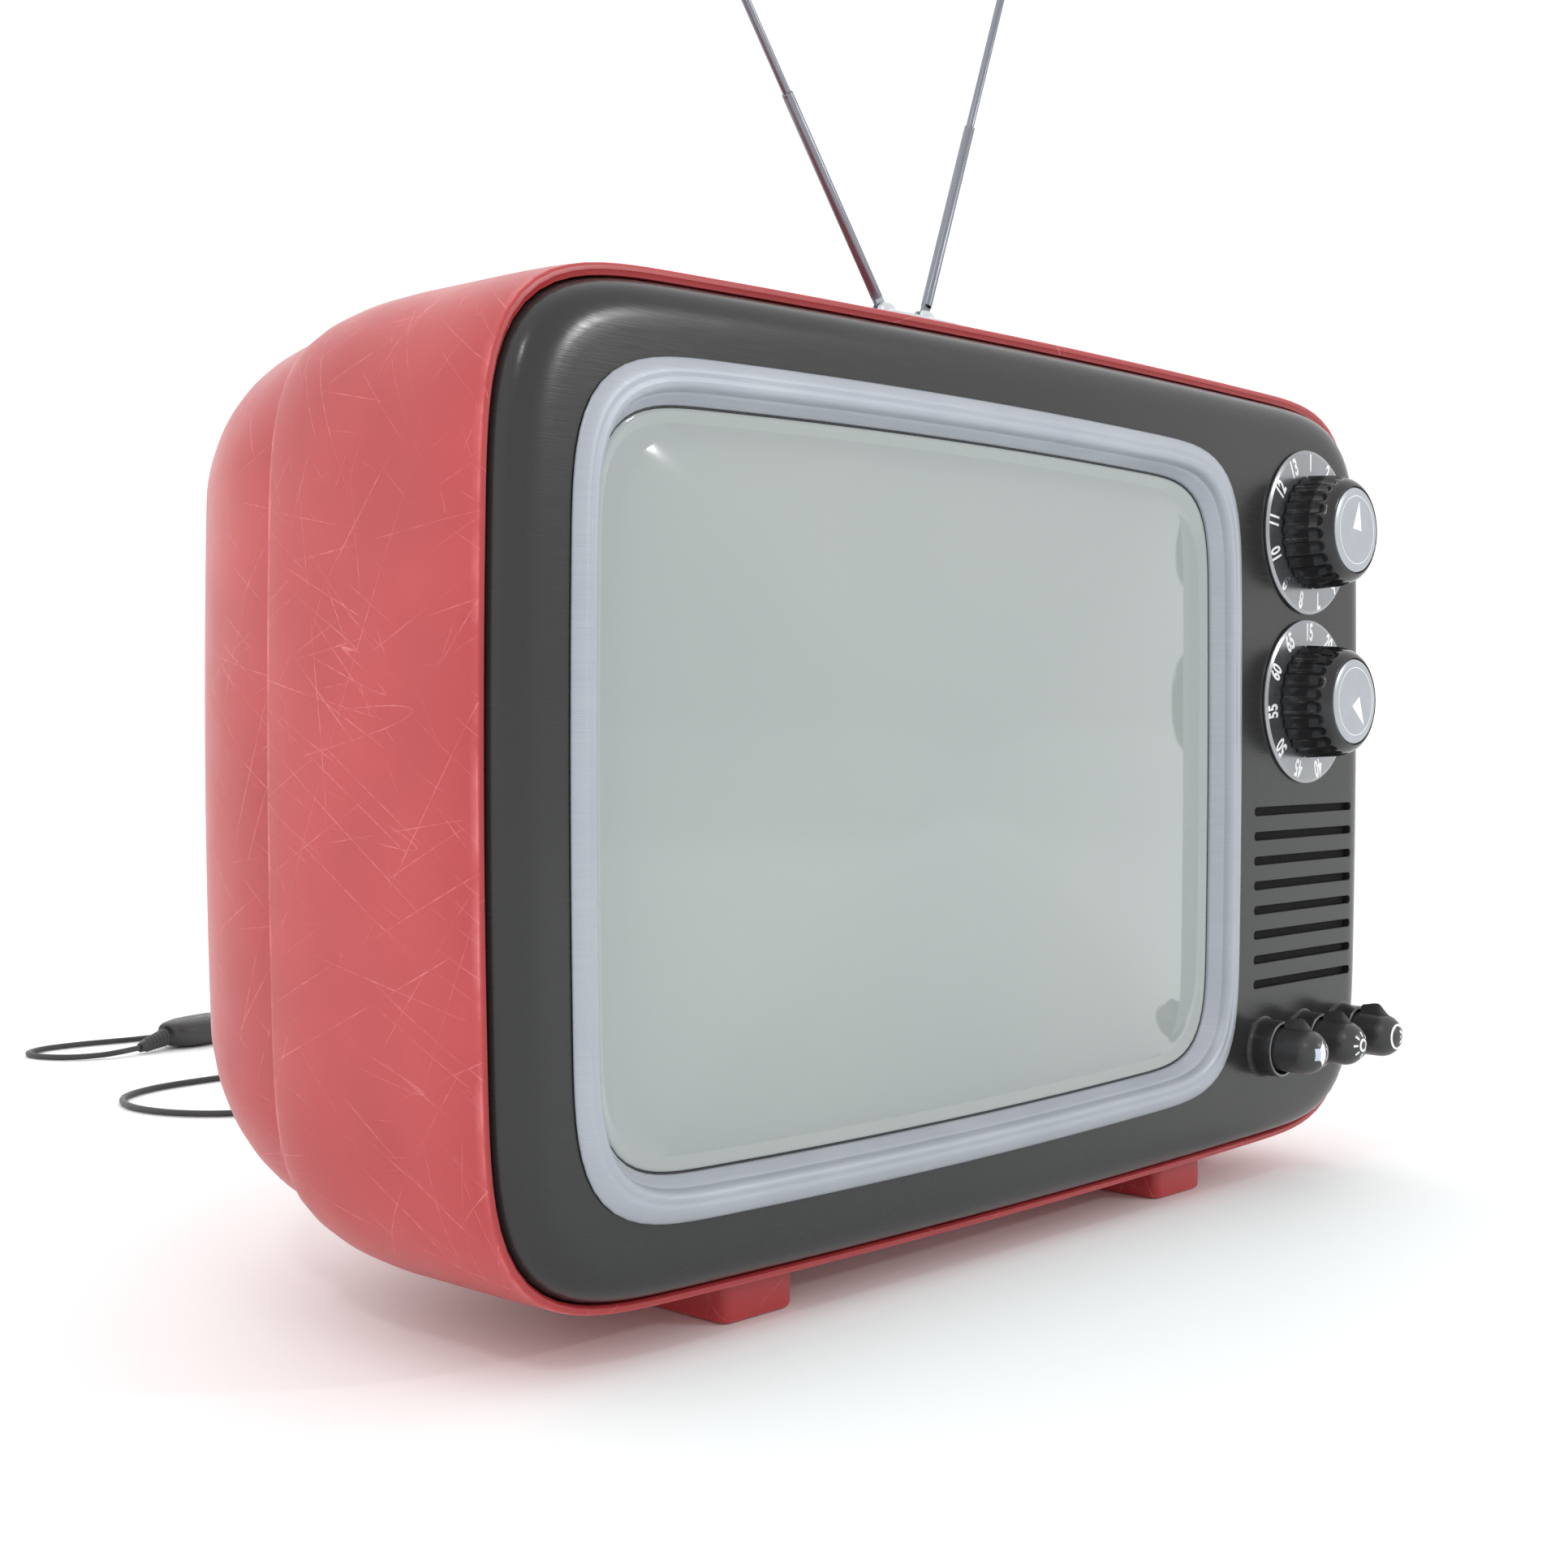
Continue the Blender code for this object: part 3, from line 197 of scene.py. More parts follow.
def red_plastic():
    look = Look("red_case_plastic", (0.445, 0.043, 0.048), 0.36, IOR=1.48, Coat_Weight=0.08,
                Coat_Roughness=0.22)
    soft = look.drift(0.05, (0.392, 0.029, 0.033), (0.465, 0.042, 0.046), 3.0)
    side_layers = ((24, 0.013), (31, 0.015), (61, 0.018), (-7, 0.016), (41, 0.017), (-66, 0.024),
                   (12, 0.019), (-24, 0.018), (80, 0.028), (-50, 0.022))
    side = scratch_lines(look, 0, side_layers, 0.00019)
    top = scratch_lines(look, 2, ((18, 0.020), (-30, 0.024), (64, 0.028)), 0.00020)
    back = scratch_lines(look, 1, ((33, 0.020), (-21, 0.024), (74, 0.028)), 0.00020)
    lines = look.maths("MAXIMUM", look.maths("MAXIMUM", side, top), back)
    mark = look.mark("wear_and_shade")
    patches = look.fit(look.noise(0.012, 4.0), 0.42, 0.64, 0.15, 0.9)
    worn_and_highlight = look.maths("MULTIPLY", look.maths("MAXIMUM", mark, 0.0), patches)
    # Painted shade: where the stored mark is below zero the red turns darker, on the rim's face, on the ledge
    # beside the panel and on the feet.
    painted_shade = look.maths("MAXIMUM", look.maths("MULTIPLY", mark, -1.0), 0.0)
    base = look.mix(look.maths("MULTIPLY", painted_shade, 0.75), soft, (0.20, 0.010, 0.012, 1))
    base = look.mix(look.maths("MULTIPLY", lines, 0.62), base, (0.80, 0.26, 0.26, 1))
    # Lighter red where the mark is above zero: rubbed edges, which also paint the highlight along the rim's
    # outer corner and the seam.
    base = look.mix(worn_and_highlight, base, (0.74, 0.20, 0.21, 1))
    look.feed("Base Color", base)
    rough = look.fit(look.noise(0.03, 4.0), 0.3, 0.7, 0.32, 0.42)
    look.feed("Roughness", look.maths("ADD", rough, look.maths("MULTIPLY", lines, 0.15)))
    skin = look.maths("MULTIPLY", look.noise(0.0022, 2.0), 0.35)
    look.bump(look.maths("SUBTRACT", skin, lines), 0.00005, 0.5)
    return look.material


def panel_plastic():
    look = Look("dark_panel_plastic", (0.0205, 0.0205, 0.0208), 0.28, IOR=1.46)
    drift = look.drift(0.06, (0.0190, 0.0190, 0.0194), (0.0222, 0.0222, 0.0226), 3.0)
    streak = look.noise((0.012, 0.012, 0.0004), 2.0)
    look.feed("Base Color", look.mix(look.fit(streak, 0.6, 0.9, 0.0, 0.04), drift, (0.10, 0.10, 0.10, 1)))
    look.feed("Roughness", look.fit(streak, 0.3, 0.7, 0.21, 0.28))
    look.bump(streak, 0.00003, 0.5)
    return look.material


def silver_plastic():
    look = Look("brushed_silver_plastic", (0.43, 0.455, 0.515), 0.42, 0.3)
    brush = look.noise((0.018, 0.018, 0.00035), 3.0)
    drift = look.drift(0.03, (0.350, 0.371, 0.422), (0.384, 0.406, 0.453))
    fine = look.mix(look.fit(brush, 0.35, 0.7, 0.0, 0.25), drift, (0.50, 0.53, 0.57, 1))
    look.feed("Base Color", fine)
    look.feed("Roughness", look.fit(brush, 0.3, 0.7, 0.36, 0.48))
    look.bump(brush, 0.00005, 0.5)
    return look.material


def knob_plastic():
    look = Look("black_knob_plastic", (0.012, 0.012, 0.013), 0.3, IOR=1.5)
    look.gloss(0.006, 0.13, 0.20, 3.0)
    look.feed("Base Color", look.drift(0.01, (0.010, 0.010, 0.011), (0.016, 0.016, 0.017)))
    return look.material


def screen_glass():
    look = Look("screen_glass", (0.347, 0.378, 0.371), 0.07, IOR=1.5, Coat_Weight=0.3, Coat_Roughness=0.04)
    look.feed("Base Color", look.drift(0.15, (0.338, 0.370, 0.365), (0.356, 0.386, 0.377)))
    look.gloss(0.05, 0.045, 0.06, 3.0)
    return look.material


def drifting(name, colour, roughness, metallic, mottle, gloss, grain=None):
    """A finish whose colour drifts by `mottle` (size, amount) and its roughness by `gloss` (size, low, high,
    detail), with a relief of `grain` (size, depth, strength)."""
    look = Look(name, colour, roughness, metallic)
    look.mottle(*mottle)
    look.gloss(*gloss)
    if grain:
        size, depth, strength = grain
        look.bump(look.noise(size), depth, strength)
    return look.material


def plain_kind(name, colour, roughness, metallic, grain, amount):
    """A simple finish for the inner pieces: drifting colour, uneven gloss and a fine grain."""
    look = Look(name, colour, roughness, metallic)
    look.mottle(grain * 6, amount)
    fine = look.noise(grain, 3.0)
    look.feed("Roughness", look.fit(fine, 0.3, 0.7, roughness * 0.85, roughness * 1.15))
    look.bump(fine, grain * 0.03, 0.3)
    return look.material


def print_ink(name, colour):
    """A flat printed colour, hardly uneven."""
    look = Look(name, colour, 0.45)
    look.mottle(0.001, 0.03)
    return look.material


RED = red_plastic()
PANEL = panel_plastic()
SILVER = silver_plastic()
KNOB = knob_plastic()
GLASS = screen_glass()
DIAL = drifting("dial_satin_metal", (0.33, 0.34, 0.355), 0.24, 0.9, (0.02, 0.05), (0.006, 0.21, 0.27))
CAP = drifting("knob_cap_satin_metal", (0.40, 0.422, 0.455), 0.34, 0.5, (0.008, 0.04), (0.005, 0.31, 0.37))
CONTROL = drifting("dark_control_plastic", (0.038, 0.038, 0.039), 0.32, 0.0, (0.006, 0.08),
                   (0.002, 0.27, 0.38, 3.0), (0.0007, 0.00003, 0.3))
CHROME = drifting("antenna_plated_steel", (0.22, 0.23, 0.26), 0.33, 0.9, (0.012, 0.05),
                  ((0.004, 0.004, 0.02), 0.29, 0.37, 3.0))
PALE = drifting("antenna_base_metal", (0.60, 0.64, 0.66), 0.32, 0.4, (0.006, 0.05), (0.003, 0.28, 0.38))
RUBBER = drifting("dark_lead_vinyl", (0.030, 0.030, 0.031), 0.42, 0.0, (0.01, 0.12), (0.003, 0.36, 0.5, 3.0),
                  (0.0009, 0.00004, 0.4))
WHITE = print_ink("white_print", (0.93, 0.94, 0.95))
BLUISH = print_ink("bluish_print", (0.55, 0.62, 0.74))
STEEL = plain_kind("plated_steel", (0.50, 0.50, 0.51), 0.34, 1.0, 0.0015, 0.10)
BRASS = plain_kind("bright_brass", (0.76, 0.58, 0.27), 0.26, 1.0, 0.0012, 0.08)
ALUMINIUM = plain_kind("plain_aluminium", (0.62, 0.62, 0.63), 0.40, 1.0, 0.0012, 0.06)
COPPER = plain_kind("lacquered_copper_winding", (0.50, 0.20, 0.09), 0.35, 0.8, 0.0008, 0.20)
BOARD = plain_kind("brown_board_laminate", (0.34, 0.21, 0.09), 0.50, 0.0, 0.0030, 0.15)
PAPER = plain_kind("pressed_cone_paper", (0.035, 0.032, 0.030), 0.90, 0.0, 0.0010, 0.25)
BLACK = plain_kind("black_moulding", (0.014, 0.014, 0.015), 0.30, 0.0, 0.0015, 0.15)
# Lighter grey of the collars' front rings: wear together with a painted edge highlight.
RIM_GREY = plain_kind("worn_and_highlight_collar_edge", (0.22, 0.23, 0.24), 0.35, 0.0, 0.0010, 0.20)
# Near-black finish of the sheet that paints the shade inside the sound slots.
SHADE_SHEET = plain_kind("black_slot_shade_sheet", (0.006, 0.006, 0.006), 0.95, 0.0, 0.0006, 0.30)

INNER_LOOKS = {"anode_cap": RUBBER, "deflection_yoke": COPPER, "electron_gun": STEEL,
               "filter_capacitor": ALUMINIUM, "flyback_transformer": BLACK, "heat_sink": ALUMINIUM,
               "main_board": BOARD,
               "neck_socket_board": BOARD, "plug_pin_left": BRASS, "plug_pin_right": BRASS,
               "speaker_basket": BLACK, "speaker_cone": PAPER, "speaker_magnet": STEEL, "tube_band": STEEL}
INNER_LOOKS.update({f"{name}_tuner": STEEL for name in ("vhf", "uhf")})
INNER_LOOKS.update({f"{name}_potentiometer": STEEL for name in ("volume", "brightness", "contrast")})
INNER_LOOKS.update({f"{name}_shaft": STEEL for name in ("vhf", "uhf", "volume", "brightness", "contrast")})
for node, look in INNER_LOOKS.items():
    for material_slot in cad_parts[node].material_slots:
        material_slot.material = look


# ------------------------------------------------------------------ mesh helpers
CORNER_STEPS, SIDE_STEPS = 22, 10
SQUARE = ((-1, -1), (1, -1), (1, 1), (-1, 1))
SMOOTH_ANGLE = 38.0


def finish_piece(name, mesh, look, body, nodes=(), sharp=SMOOTH_ANGLE):
    """Link a mesh as a piece that rides on a body and stands for some CAD nodes."""
    mesh.name = name
    mesh.materials.append(look)
    mesh.shade_smooth()
    mesh.set_sharp_from_angle(angle=math.radians(sharp))
    made = bpy.data.objects.new(name, mesh)
    scene.collection.objects.link(made)
    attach(made, body)
    if nodes:
        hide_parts(*nodes)
    return made


def mesh_of(points, faces, wear_and_shade=None):
    """A mesh with its faces pointing out, and the mark of each point if given: wear, painted highlight and
    painted shade.
    """
    mesh = bpy.data.meshes.new("piece")
    mesh.from_pydata([tuple(p) for p in points], [], faces)
    bm = bmesh.new()
    bm.from_mesh(mesh)
    bmesh.ops.recalc_face_normals(bm, faces=bm.faces)
    bm.to_mesh(mesh)
    bm.free()
    if wear_and_shade is not None:
        stored = mesh.attributes.new("wear_and_shade", "FLOAT", "POINT")
        stored.data.foreach_set("value", wear_and_shade)
    return mesh


def loft(rings, closed=False, wear_and_shade=None):
    """Skin rings of equal point counts. A closed loft joins the last ring to the first."""
    count = len(rings[0])
    points = [p for ring in rings for p in ring]
    pairs = [(i, i + 1) for i in range(len(rings) - 1)]
    if closed:
        pairs.append((len(rings) - 1, 0))
    faces = []
    for a, b in pairs:
        for i in range(count):
            j = (i + 1) % count
            faces.append((a * count + i, a * count + j, b * count + j, b * count + i))
    if not closed:
        faces.append(tuple(reversed(range(count))))
        faces.append(tuple(range((len(rings) - 1) * count, len(rings) * count)))
    marks = None if wear_and_shade is None else [w for w in wear_and_shade for _ in range(count)]
    return mesh_of(points, faces, marks)


def circle(radius, y, count, centre):
    """A ring of points about the Y direction."""
    return [centre + Vector((radius * math.cos(t), y, radius * math.sin(t)))
            for t in (2 * math.pi * i / count for i in range(count))]


def level_circle(radius, z, count, centre=Vector()):
    """A ring of points about the vertical."""
    return [centre + Vector((radius * math.cos(t), radius * math.sin(t), z))
            for t in (2 * math.pi * i / count for i in range(count))]


def box_rings(centre, half_width, half_height, y0, y1):
    """The two ends of a plain box along Y."""
    return [[centre + Vector((a * half_width, y, b * half_height)) for a, b in SQUARE] for y in (y0, y1)]


def block_outline(half_width, half_height, corner, steps):
    """A rectangle whose corners are arcs of `steps` pieces, as (across, up) points."""
    return [(sx * (half_width - corner) + corner * math.cos(t),
             sz * (half_height - corner) + corner * math.sin(t))
            for sx, sz, start in ((1, 1, 0), (-1, 1, 90), (-1, -1, 180), (1, -1, 270))
            for t in (math.radians(start + 90 / steps * k) for k in range(steps + 1))]


def turned(profile, centre, closed=False, count=72):
    """Revolve (radius, y) points about the Y direction."""
    return loft([circle(r, y, count, centre) for r, y in profile], closed)


def outline(half_width, half_height, corner, bow, centre=(0.0, 0.0), power=CORNER_POWER):
    """A rounded rectangle whose corners are superellipses and whose sides bulge a little."""
    points = []
    for quarter in range(4):
        sx, sz = ((1, 1), (-1, 1), (-1, -1), (1, -1))[quarter]
        arc = []
        for k in range(CORNER_STEPS + 1):
            turn = math.pi / 2 * k / CORNER_STEPS
            reach = (abs(math.cos(turn)) ** power + abs(math.sin(turn)) ** power) ** (-1 / power)
            arc.append((sx * (half_width - corner + corner * reach * math.cos(turn)),
                        sz * (half_height - corner + corner * reach * math.sin(turn))))
        if sx * sz < 0:
            arc.reverse()
        points += arc
        nx, nz = ((-1, 1), (-1, -1), (1, -1), (1, 1))[quarter]
        end = (nx * (half_width - corner), nz * half_height)
        if quarter % 2:
            end = (nx * half_width, nz * (half_height - corner))
        start = arc[-1]
        for k in range(1, SIDE_STEPS):
            share = k / SIDE_STEPS
            points.append((start[0] + (end[0] - start[0]) * share,
                           start[1] + (end[1] - start[1]) * share))
    return [(x * (1 - bow[0] * (z / half_height) ** 2) + centre[0],
             z * (1 - bow[1] * (x / half_width) ** 2) + centre[1]) for x, z in points]


def case_ring(inset, y, side=0.0, top=0.0, under=0.0):
    """A ring of the case, set in from its outline all round, and more at the sides, top or underside."""
    high = CASE_HEIGHT / 2 - inset - top
    low = -CASE_HEIGHT / 2 + UNDER_LIFT + inset + under
    pts = outline(CASE_WIDTH / 2 - inset - side, (high - low) / 2, CORNER - inset - side, CASE_BOW,
                  (0.0, (high + low) / 2))
    return [place(x, y, z) for x, z in pts]


def panel_ring(inset, y):
    """A ring of the panel, which keeps the nominal outline of the case."""
    reach = PANEL_INSET + inset
    pts = outline(CASE_WIDTH / 2 - reach, CASE_HEIGHT / 2 - reach, CORNER - reach, CASE_BOW)
    return [place(x, y, z) for x, z in pts]


def frame_ring(inset, y):
    """A ring of the surround, set in from its outline."""
    pts = outline(FRAME_HALF[0] - inset, FRAME_HALF[1] - inset, FRAME_CORNER - inset, FRAME_BOW,
                  (FRAME_CENTRE_X, 0.0))
    return [place(x, y, z) for x, z in pts]


def bar(centre_x, centre_z, half_long, half_short, y0, y1, flare=0.0, upright=False, steps=8):
    """Rings of a round-ended bar along Y, wider by `flare` at its first end."""
    rings = []
    for y, grow in ((y0, flare), (y0 + flare, flare), (y0 + 2 * flare, 0.0), (y1, 0.0)):
        ring = []
        for side in (1, -1):
            for k in range(steps + 1):
                turn = math.pi * (k / steps - 0.5) * side
                a = side * (half_long - half_short) + side * (half_short + grow) * math.cos(turn)
                b = (half_short + grow) * math.sin(turn)
                ring.append(place(centre_x + (b if upright else a), y, centre_z + (a if upright else b)))
        rings.append(ring)
    return rings


def joined_lofts(groups):
    """One mesh from several separate closed lofts."""
    points, faces = [], []
    for rings in groups:
        part = loft(rings)
        first = len(points)
        points += [v.co.copy() for v in part.vertices]
        faces += [tuple(first + i for i in polygon.vertices) for polygon in part.polygons]
        bpy.data.meshes.remove(part)
    return mesh_of(points, faces)


def combine(mesh, steps):
    """Apply Booleans to a mesh: steps are (operation, tool mesh) pairs."""
    target = bpy.data.objects.new("target", mesh)
    scene.collection.objects.link(target)
    tools = []
    for operation, tool_mesh in steps:
        tool = bpy.data.objects.new("tool", tool_mesh)
        scene.collection.objects.link(tool)
        modifier = target.modifiers.new("step", "BOOLEAN")
        modifier.operation = operation
        modifier.solver = "EXACT"
        modifier.object = tool
        tools.append(tool)
    bpy.context.view_layer.update()
    evaluated = target.evaluated_get(bpy.context.evaluated_depsgraph_get())
    result = bpy.data.meshes.new_from_object(evaluated)
    for done in [target] + tools:
        bpy.data.objects.remove(done)
    result.materials.clear()
    return result


def cut(mesh, *tools):
    """Take tool meshes away from a mesh."""
    return combine(mesh, [("DIFFERENCE", tool) for tool in tools])


# ------------------------------------------------------------------ mains lead and plug
CORD_DIAMETER = 0.003
CORD_REST_Z = CORD_DIAMETER / 2 + 0.0001
GLAND_X, GLAND_Z, GLAND_END = 0.075, -0.031, 0.222
PLUG_TIP = Vector((0.0250, 0.6050, 0.0038))
PLUG_AXIS = Vector((0.966, 0.259, 0.0)).normalized()
LEAD_DROP = (
    (0.0750, 0.2220, 0.1310), (0.0752, 0.2340, 0.1300), (0.0762, 0.2530, 0.1180), (0.0785, 0.2740, 0.0880),
    (0.0820, 0.2900, 0.0520), (0.0880, 0.3060, 0.0210), (0.0990, 0.3220, 0.0050),
)
LEAD_ON_FLOOR = (
    (0.1180, 0.3350), (0.1550, 0.3400), (0.1950, 0.3460), (0.2200, 0.3620), (0.2240, 0.3900),
    (0.2020, 0.4120), (0.1560, 0.4180), (0.1000, 0.4100), (0.0450, 0.3990), (-0.0050, 0.3990),
    (-0.0419, 0.4110), (-0.0600, 0.4330), (-0.0645, 0.4600), (-0.0550, 0.4830), (-0.0330, 0.4960),
    (0.0064, 0.4996), (0.0600, 0.4960), (0.1150, 0.4930), (0.1700, 0.4950), (0.2080, 0.5070),
    (0.2180, 0.5310), (0.2020, 0.5530), (0.1680, 0.5630), (0.1480, 0.5790), (0.1600, 0.5980),
    (0.1930, 0.6070), (0.2120, 0.6270), (0.1980, 0.6480), (0.1600, 0.6570), (0.1200, 0.6560),
    (0.0850, 0.6510), (0.0521, 0.6475), (0.0166, 0.6530), (-0.0060, 0.6520), (-0.0190, 0.6430),
    (-0.0190, 0.6280),
)
LEAD_TO_PLUG = ((-0.0100, 0.6140, 0.0018), (0.0035, 0.6055, 0.0024), (0.0145, 0.6032, 0.0033),
                (0.0247, 0.6049, 0.0038))
FLOOR_Z = 0.0017
CORD_ROUTE = LEAD_DROP + tuple((x, y, FLOOR_Z) for x, y in LEAD_ON_FLOOR) + LEAD_TO_PLUG


def smooth_route(route, per_span=8):
    """A centripetal Catmull-Rom curve through the route's points."""
    knots = [Vector(p) for p in route]
    knots = [2 * knots[0] - knots[1]] + knots + [2 * knots[-1] - knots[-2]]
    points = []
    for a, b, c, d in zip(knots, knots[1:], knots[2:], knots[3:]):
        t1 = (b - a).length ** 0.5
        t2 = t1 + (c - b).length ** 0.5
        t3 = t2 + (d - c).length ** 0.5
        for k in range(per_span):
            t = t1 + (t2 - t1) * k / per_span
            ab = a.lerp(b, t / t1)
            bc = b.lerp(c, (t - t1) / (t2 - t1))
            cd = c.lerp(d, (t - t2) / (t3 - t2))
            abc = ab.lerp(bc, t / t2)
            bcd = bc.lerp(cd, (t - t1) / (t3 - t1))
            points.append(abc.lerp(bcd, (t - t1) / (t2 - t1)))
    points.append(knots[-2])
    return points


def plug_body():
    """The ribbed strain relief and the moulded hood of the plug, as one body."""
    side = Vector((0, 0, 1)).cross(PLUG_AXIS)
    up = Vector((0, 0, 1))
    tip = PLUG_TIP + Vector((0, FRONT_Y, 0))
    sections = [(0.0, 0.0022, 0.0022, 0.0, 2.0, 0.0), (0.0006, 0.0026, 0.0026, 0.0001, 2.0, 0.0),
                (0.0035, 0.0030, 0.0030, 0.0006, 2.0, 0.0)]
    ribs = 6
    for k in range(ribs * 6 + 1):
        t = k / (ribs * 6)
        wave = 0.5 - 0.5 * math.cos(2 * math.pi * ribs * t)
        size = 0.0031 + 0.0013 * t + 0.0006 * wave ** 0.6
        sections.append((0.0040 + 0.0150 * t, size, size, 0.0007 + 0.0027 * t, 2.0, 0.0))
    sections += [(0.0205, 0.0046, 0.0046, 0.0036, 2.0, 0.0), (0.0212, 0.0062, 0.0056, 0.0039, 2.2, 0.0012),
                 (0.0222, 0.0078, 0.0062, 0.0040, 2.4, 0.0016), (0.0250, 0.0098, 0.0068, 0.0041, 2.6, 0.0014),
                 (0.0290, 0.0114, 0.0073, 0.0041, 2.7, 0.0010), (0.0350, 0.0128, 0.0077, 0.0042, 2.8, 0.0005),
                 (0.0430, 0.0132, 0.0078, 0.0042, 2.9, 0.0), (0.0540, 0.0132, 0.0078, 0.0042, 2.9, 0.0),
                 (0.0590, 0.0129, 0.0077, 0.0042, 2.9, 0.0), (0.0606, 0.0124, 0.0073, 0.0042, 2.8, 0.0),
                 (0.0613, 0.0116, 0.0066, 0.0042, 2.8, 0.0)]
    rings = []
    count = 48
    for along, half_width, half_height, rise, power, slant in sections:
        ring = []
        for k in range(count):
            turn = 2 * math.pi * k / count
            c, s = math.cos(turn), math.sin(turn)
            a = half_width * math.copysign(abs(c) ** (2 / power), c)
            b = half_height * math.copysign(abs(s) ** (2 / power), s)
            forward = along + 0.0003 - slant * b / half_height
            ring.append(tip + PLUG_AXIS * forward + side * a + up * (b + rise))
        rings.append(ring)
    return loft(rings)


plug = finish_piece("plug_moulding", plug_body(), RUBBER, "television", ["mains_plug"], 50.0)
route_curve = bpy.data.curves.new("mains_lead", "CURVE")
route_curve.dimensions = "3D"
route_curve.bevel_depth = CORD_DIAMETER / 2
route_curve.bevel_resolution = 4
route_curve.use_fill_caps = True
route_points = smooth_route(CORD_ROUTE)
route_spline = route_curve.splines.new("POLY")
route_spline.points.add(len(route_points) - 1)
for slot_point, spot in zip(route_spline.points, route_points):
    slot_point.co = (spot.x, FRONT_Y + spot.y, max(spot.z, CORD_REST_Z), 1.0)
route_spline.use_smooth = True
route_curve.materials.append(RUBBER)
lead = bpy.data.objects.new("mains_lead", route_curve)
scene.collection.objects.link(lead)
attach(lead, "television")
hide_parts("power_cord")


# ------------------------------------------------------------------ case
BOSS_X, BOSS_Z = 0.205, 0.100
DOME_POWER, DOME_DRAW = 2.47, 0.0915       # how squarely the rear cover turns in, and how far
DOME_SIDE, DOME_TOP, DOME_UNDER = 1.015, 0.611, 1.316    # shares of it at the sides, top and underside
DOME_CORNER = 0.0464
NECK_HALF, NECK_CORNER, NECK_CENTRE_Z = (0.052, 0.046), 0.024, 0.004
AIR_ROWS, AIR_TOP_Z, AIR_PITCH, AIR_HALF_WIDTH = 8, 0.056, 0.0095, 0.0018
TOP_COLUMNS, TOP_FIRST_X, TOP_PITCH, TOP_HALF_LENGTH = 12, -0.060, 0.0125, 0.0140


def case_front():
    """Front half of the case: a sharp red rim and a rear edge that curls in to the seam."""
    # Rim rows: inset, depth and mark. The mark paints shade below zero, and above zero lightens the outer
    # corner, which is wear with a painted highlight.
    rim = [(RIM, RIM_Y + 0.0002, -0.25), (RIM - 0.0002, RIM_Y, -0.4), (0.0009, RIM_Y, -0.4),
           (0.0005, RIM_Y + 0.00008, -0.1), (0.0002, RIM_Y + 0.0003, 0.4), (0.00005, RIM_Y + 0.0006, 0.9),
           (0.0, RIM_Y + 0.0010, 0.4)]
    flank = [(0.001, 0.75), (0.006, 0.40), (0.014, 0.12), (0.024, 0.0), (0.045, 0.0), (0.060, 0.0)]
    curl = [(0.068, 0.06), (0.0715, 0.10), (0.075, 0.16), (0.0785, 0.24), (0.082, 0.33), (0.085, 0.43),
            (0.088, 0.55), (0.0905, 0.67), (0.0925, 0.78), (0.0942, 0.89), (0.0953, 0.96), (0.0959, 1.0)]
    side, top = RIM_DRAW
    rings = [panel_ring(-GAP, 0.0093), panel_ring(-GAP, -0.0012), panel_ring(-GAP - 0.0001, -0.0016)]
    rings += [case_ring(inset, y, side, top) for inset, y, _ in rim]
    rings += [case_ring(0.0, y, side * share, top * share) for y, share in flank]
    rings += [case_ring(0.0, y, *(share * draw for draw in EDGE_DRAW)) for y, share in curl]
    seam = [(0.0004, 1.0, SHELL_DEPTH), (0.0076, 1.0, SHELL_DEPTH), (0.0045, 0.52, 0.087),
            (0.0033, 0.14, 0.074)]
    rings += [case_ring(inset, y, *(share * draw for draw in EDGE_DRAW)) for inset, share, y in seam]
    rings += [case_ring(i, y) for i, y in ((WALL, 0.062), (WALL, 0.015), (0.0085, 0.0125), (0.0085, 0.0096))]
    # Marks per ring: below zero is painted shade on the ledge beside the panel and on the rim's face; above
    # zero lightens the seam's edge, which is wear with a painted highlight.
    wear_and_shade = [-0.5, -0.2, 0.0] + [w for _, _, w in rim]
    wear_and_shade += [0.0] * (len(flank) + len(curl) - 2) + [0.5, 1.0, 0.6] + [0.0] * 7
    mesh = loft(rings, closed=True, wear_and_shade=wear_and_shade)
    finish_piece("case_front", mesh, RED, "television", ["cabinet_shell"])


def rear_ring(share, wall=0.0):
    """A ring of the domed rear cover. The underside tucks in more than the top."""
    draw = DOME_DRAW * (1 - (1 - share ** DOME_POWER) ** (1 / DOME_POWER))
    y = SHELL_DEPTH + REAR_DEPTH * share
    side, over, under = COVER_DRAW
    half_width = CASE_WIDTH / 2 - side - DOME_SIDE * draw - wall
    top = CASE_HEIGHT / 2 - over - DOME_TOP * draw - wall
    bottom = -CASE_HEIGHT / 2 + under + DOME_UNDER * draw + wall
    half_height = (top - bottom) / 2
    corner = min(DOME_CORNER, half_height - 0.002)
    pts = outline(half_width, half_height, corner, CASE_BOW, (0.0, (top + bottom) / 2), 2.0)
    return [place(x, y, z) for x, z in pts]


def neck_ring(inset, y):
    """A ring of the housing around the tube's neck."""
    pts = outline(NECK_HALF[0] - inset, NECK_HALF[1] - inset, NECK_CORNER - inset / 2, (0.0, 0.0),
                  (FRAME_CENTRE_X, NECK_CENTRE_Z), 2.6)
    return [place(x, y, z) for x, z in pts]


def shifted(rings, step):
    """The same rings, moved along Y."""
    return [[p + Vector((0, step, 0)) for p in ring] for ring in rings]


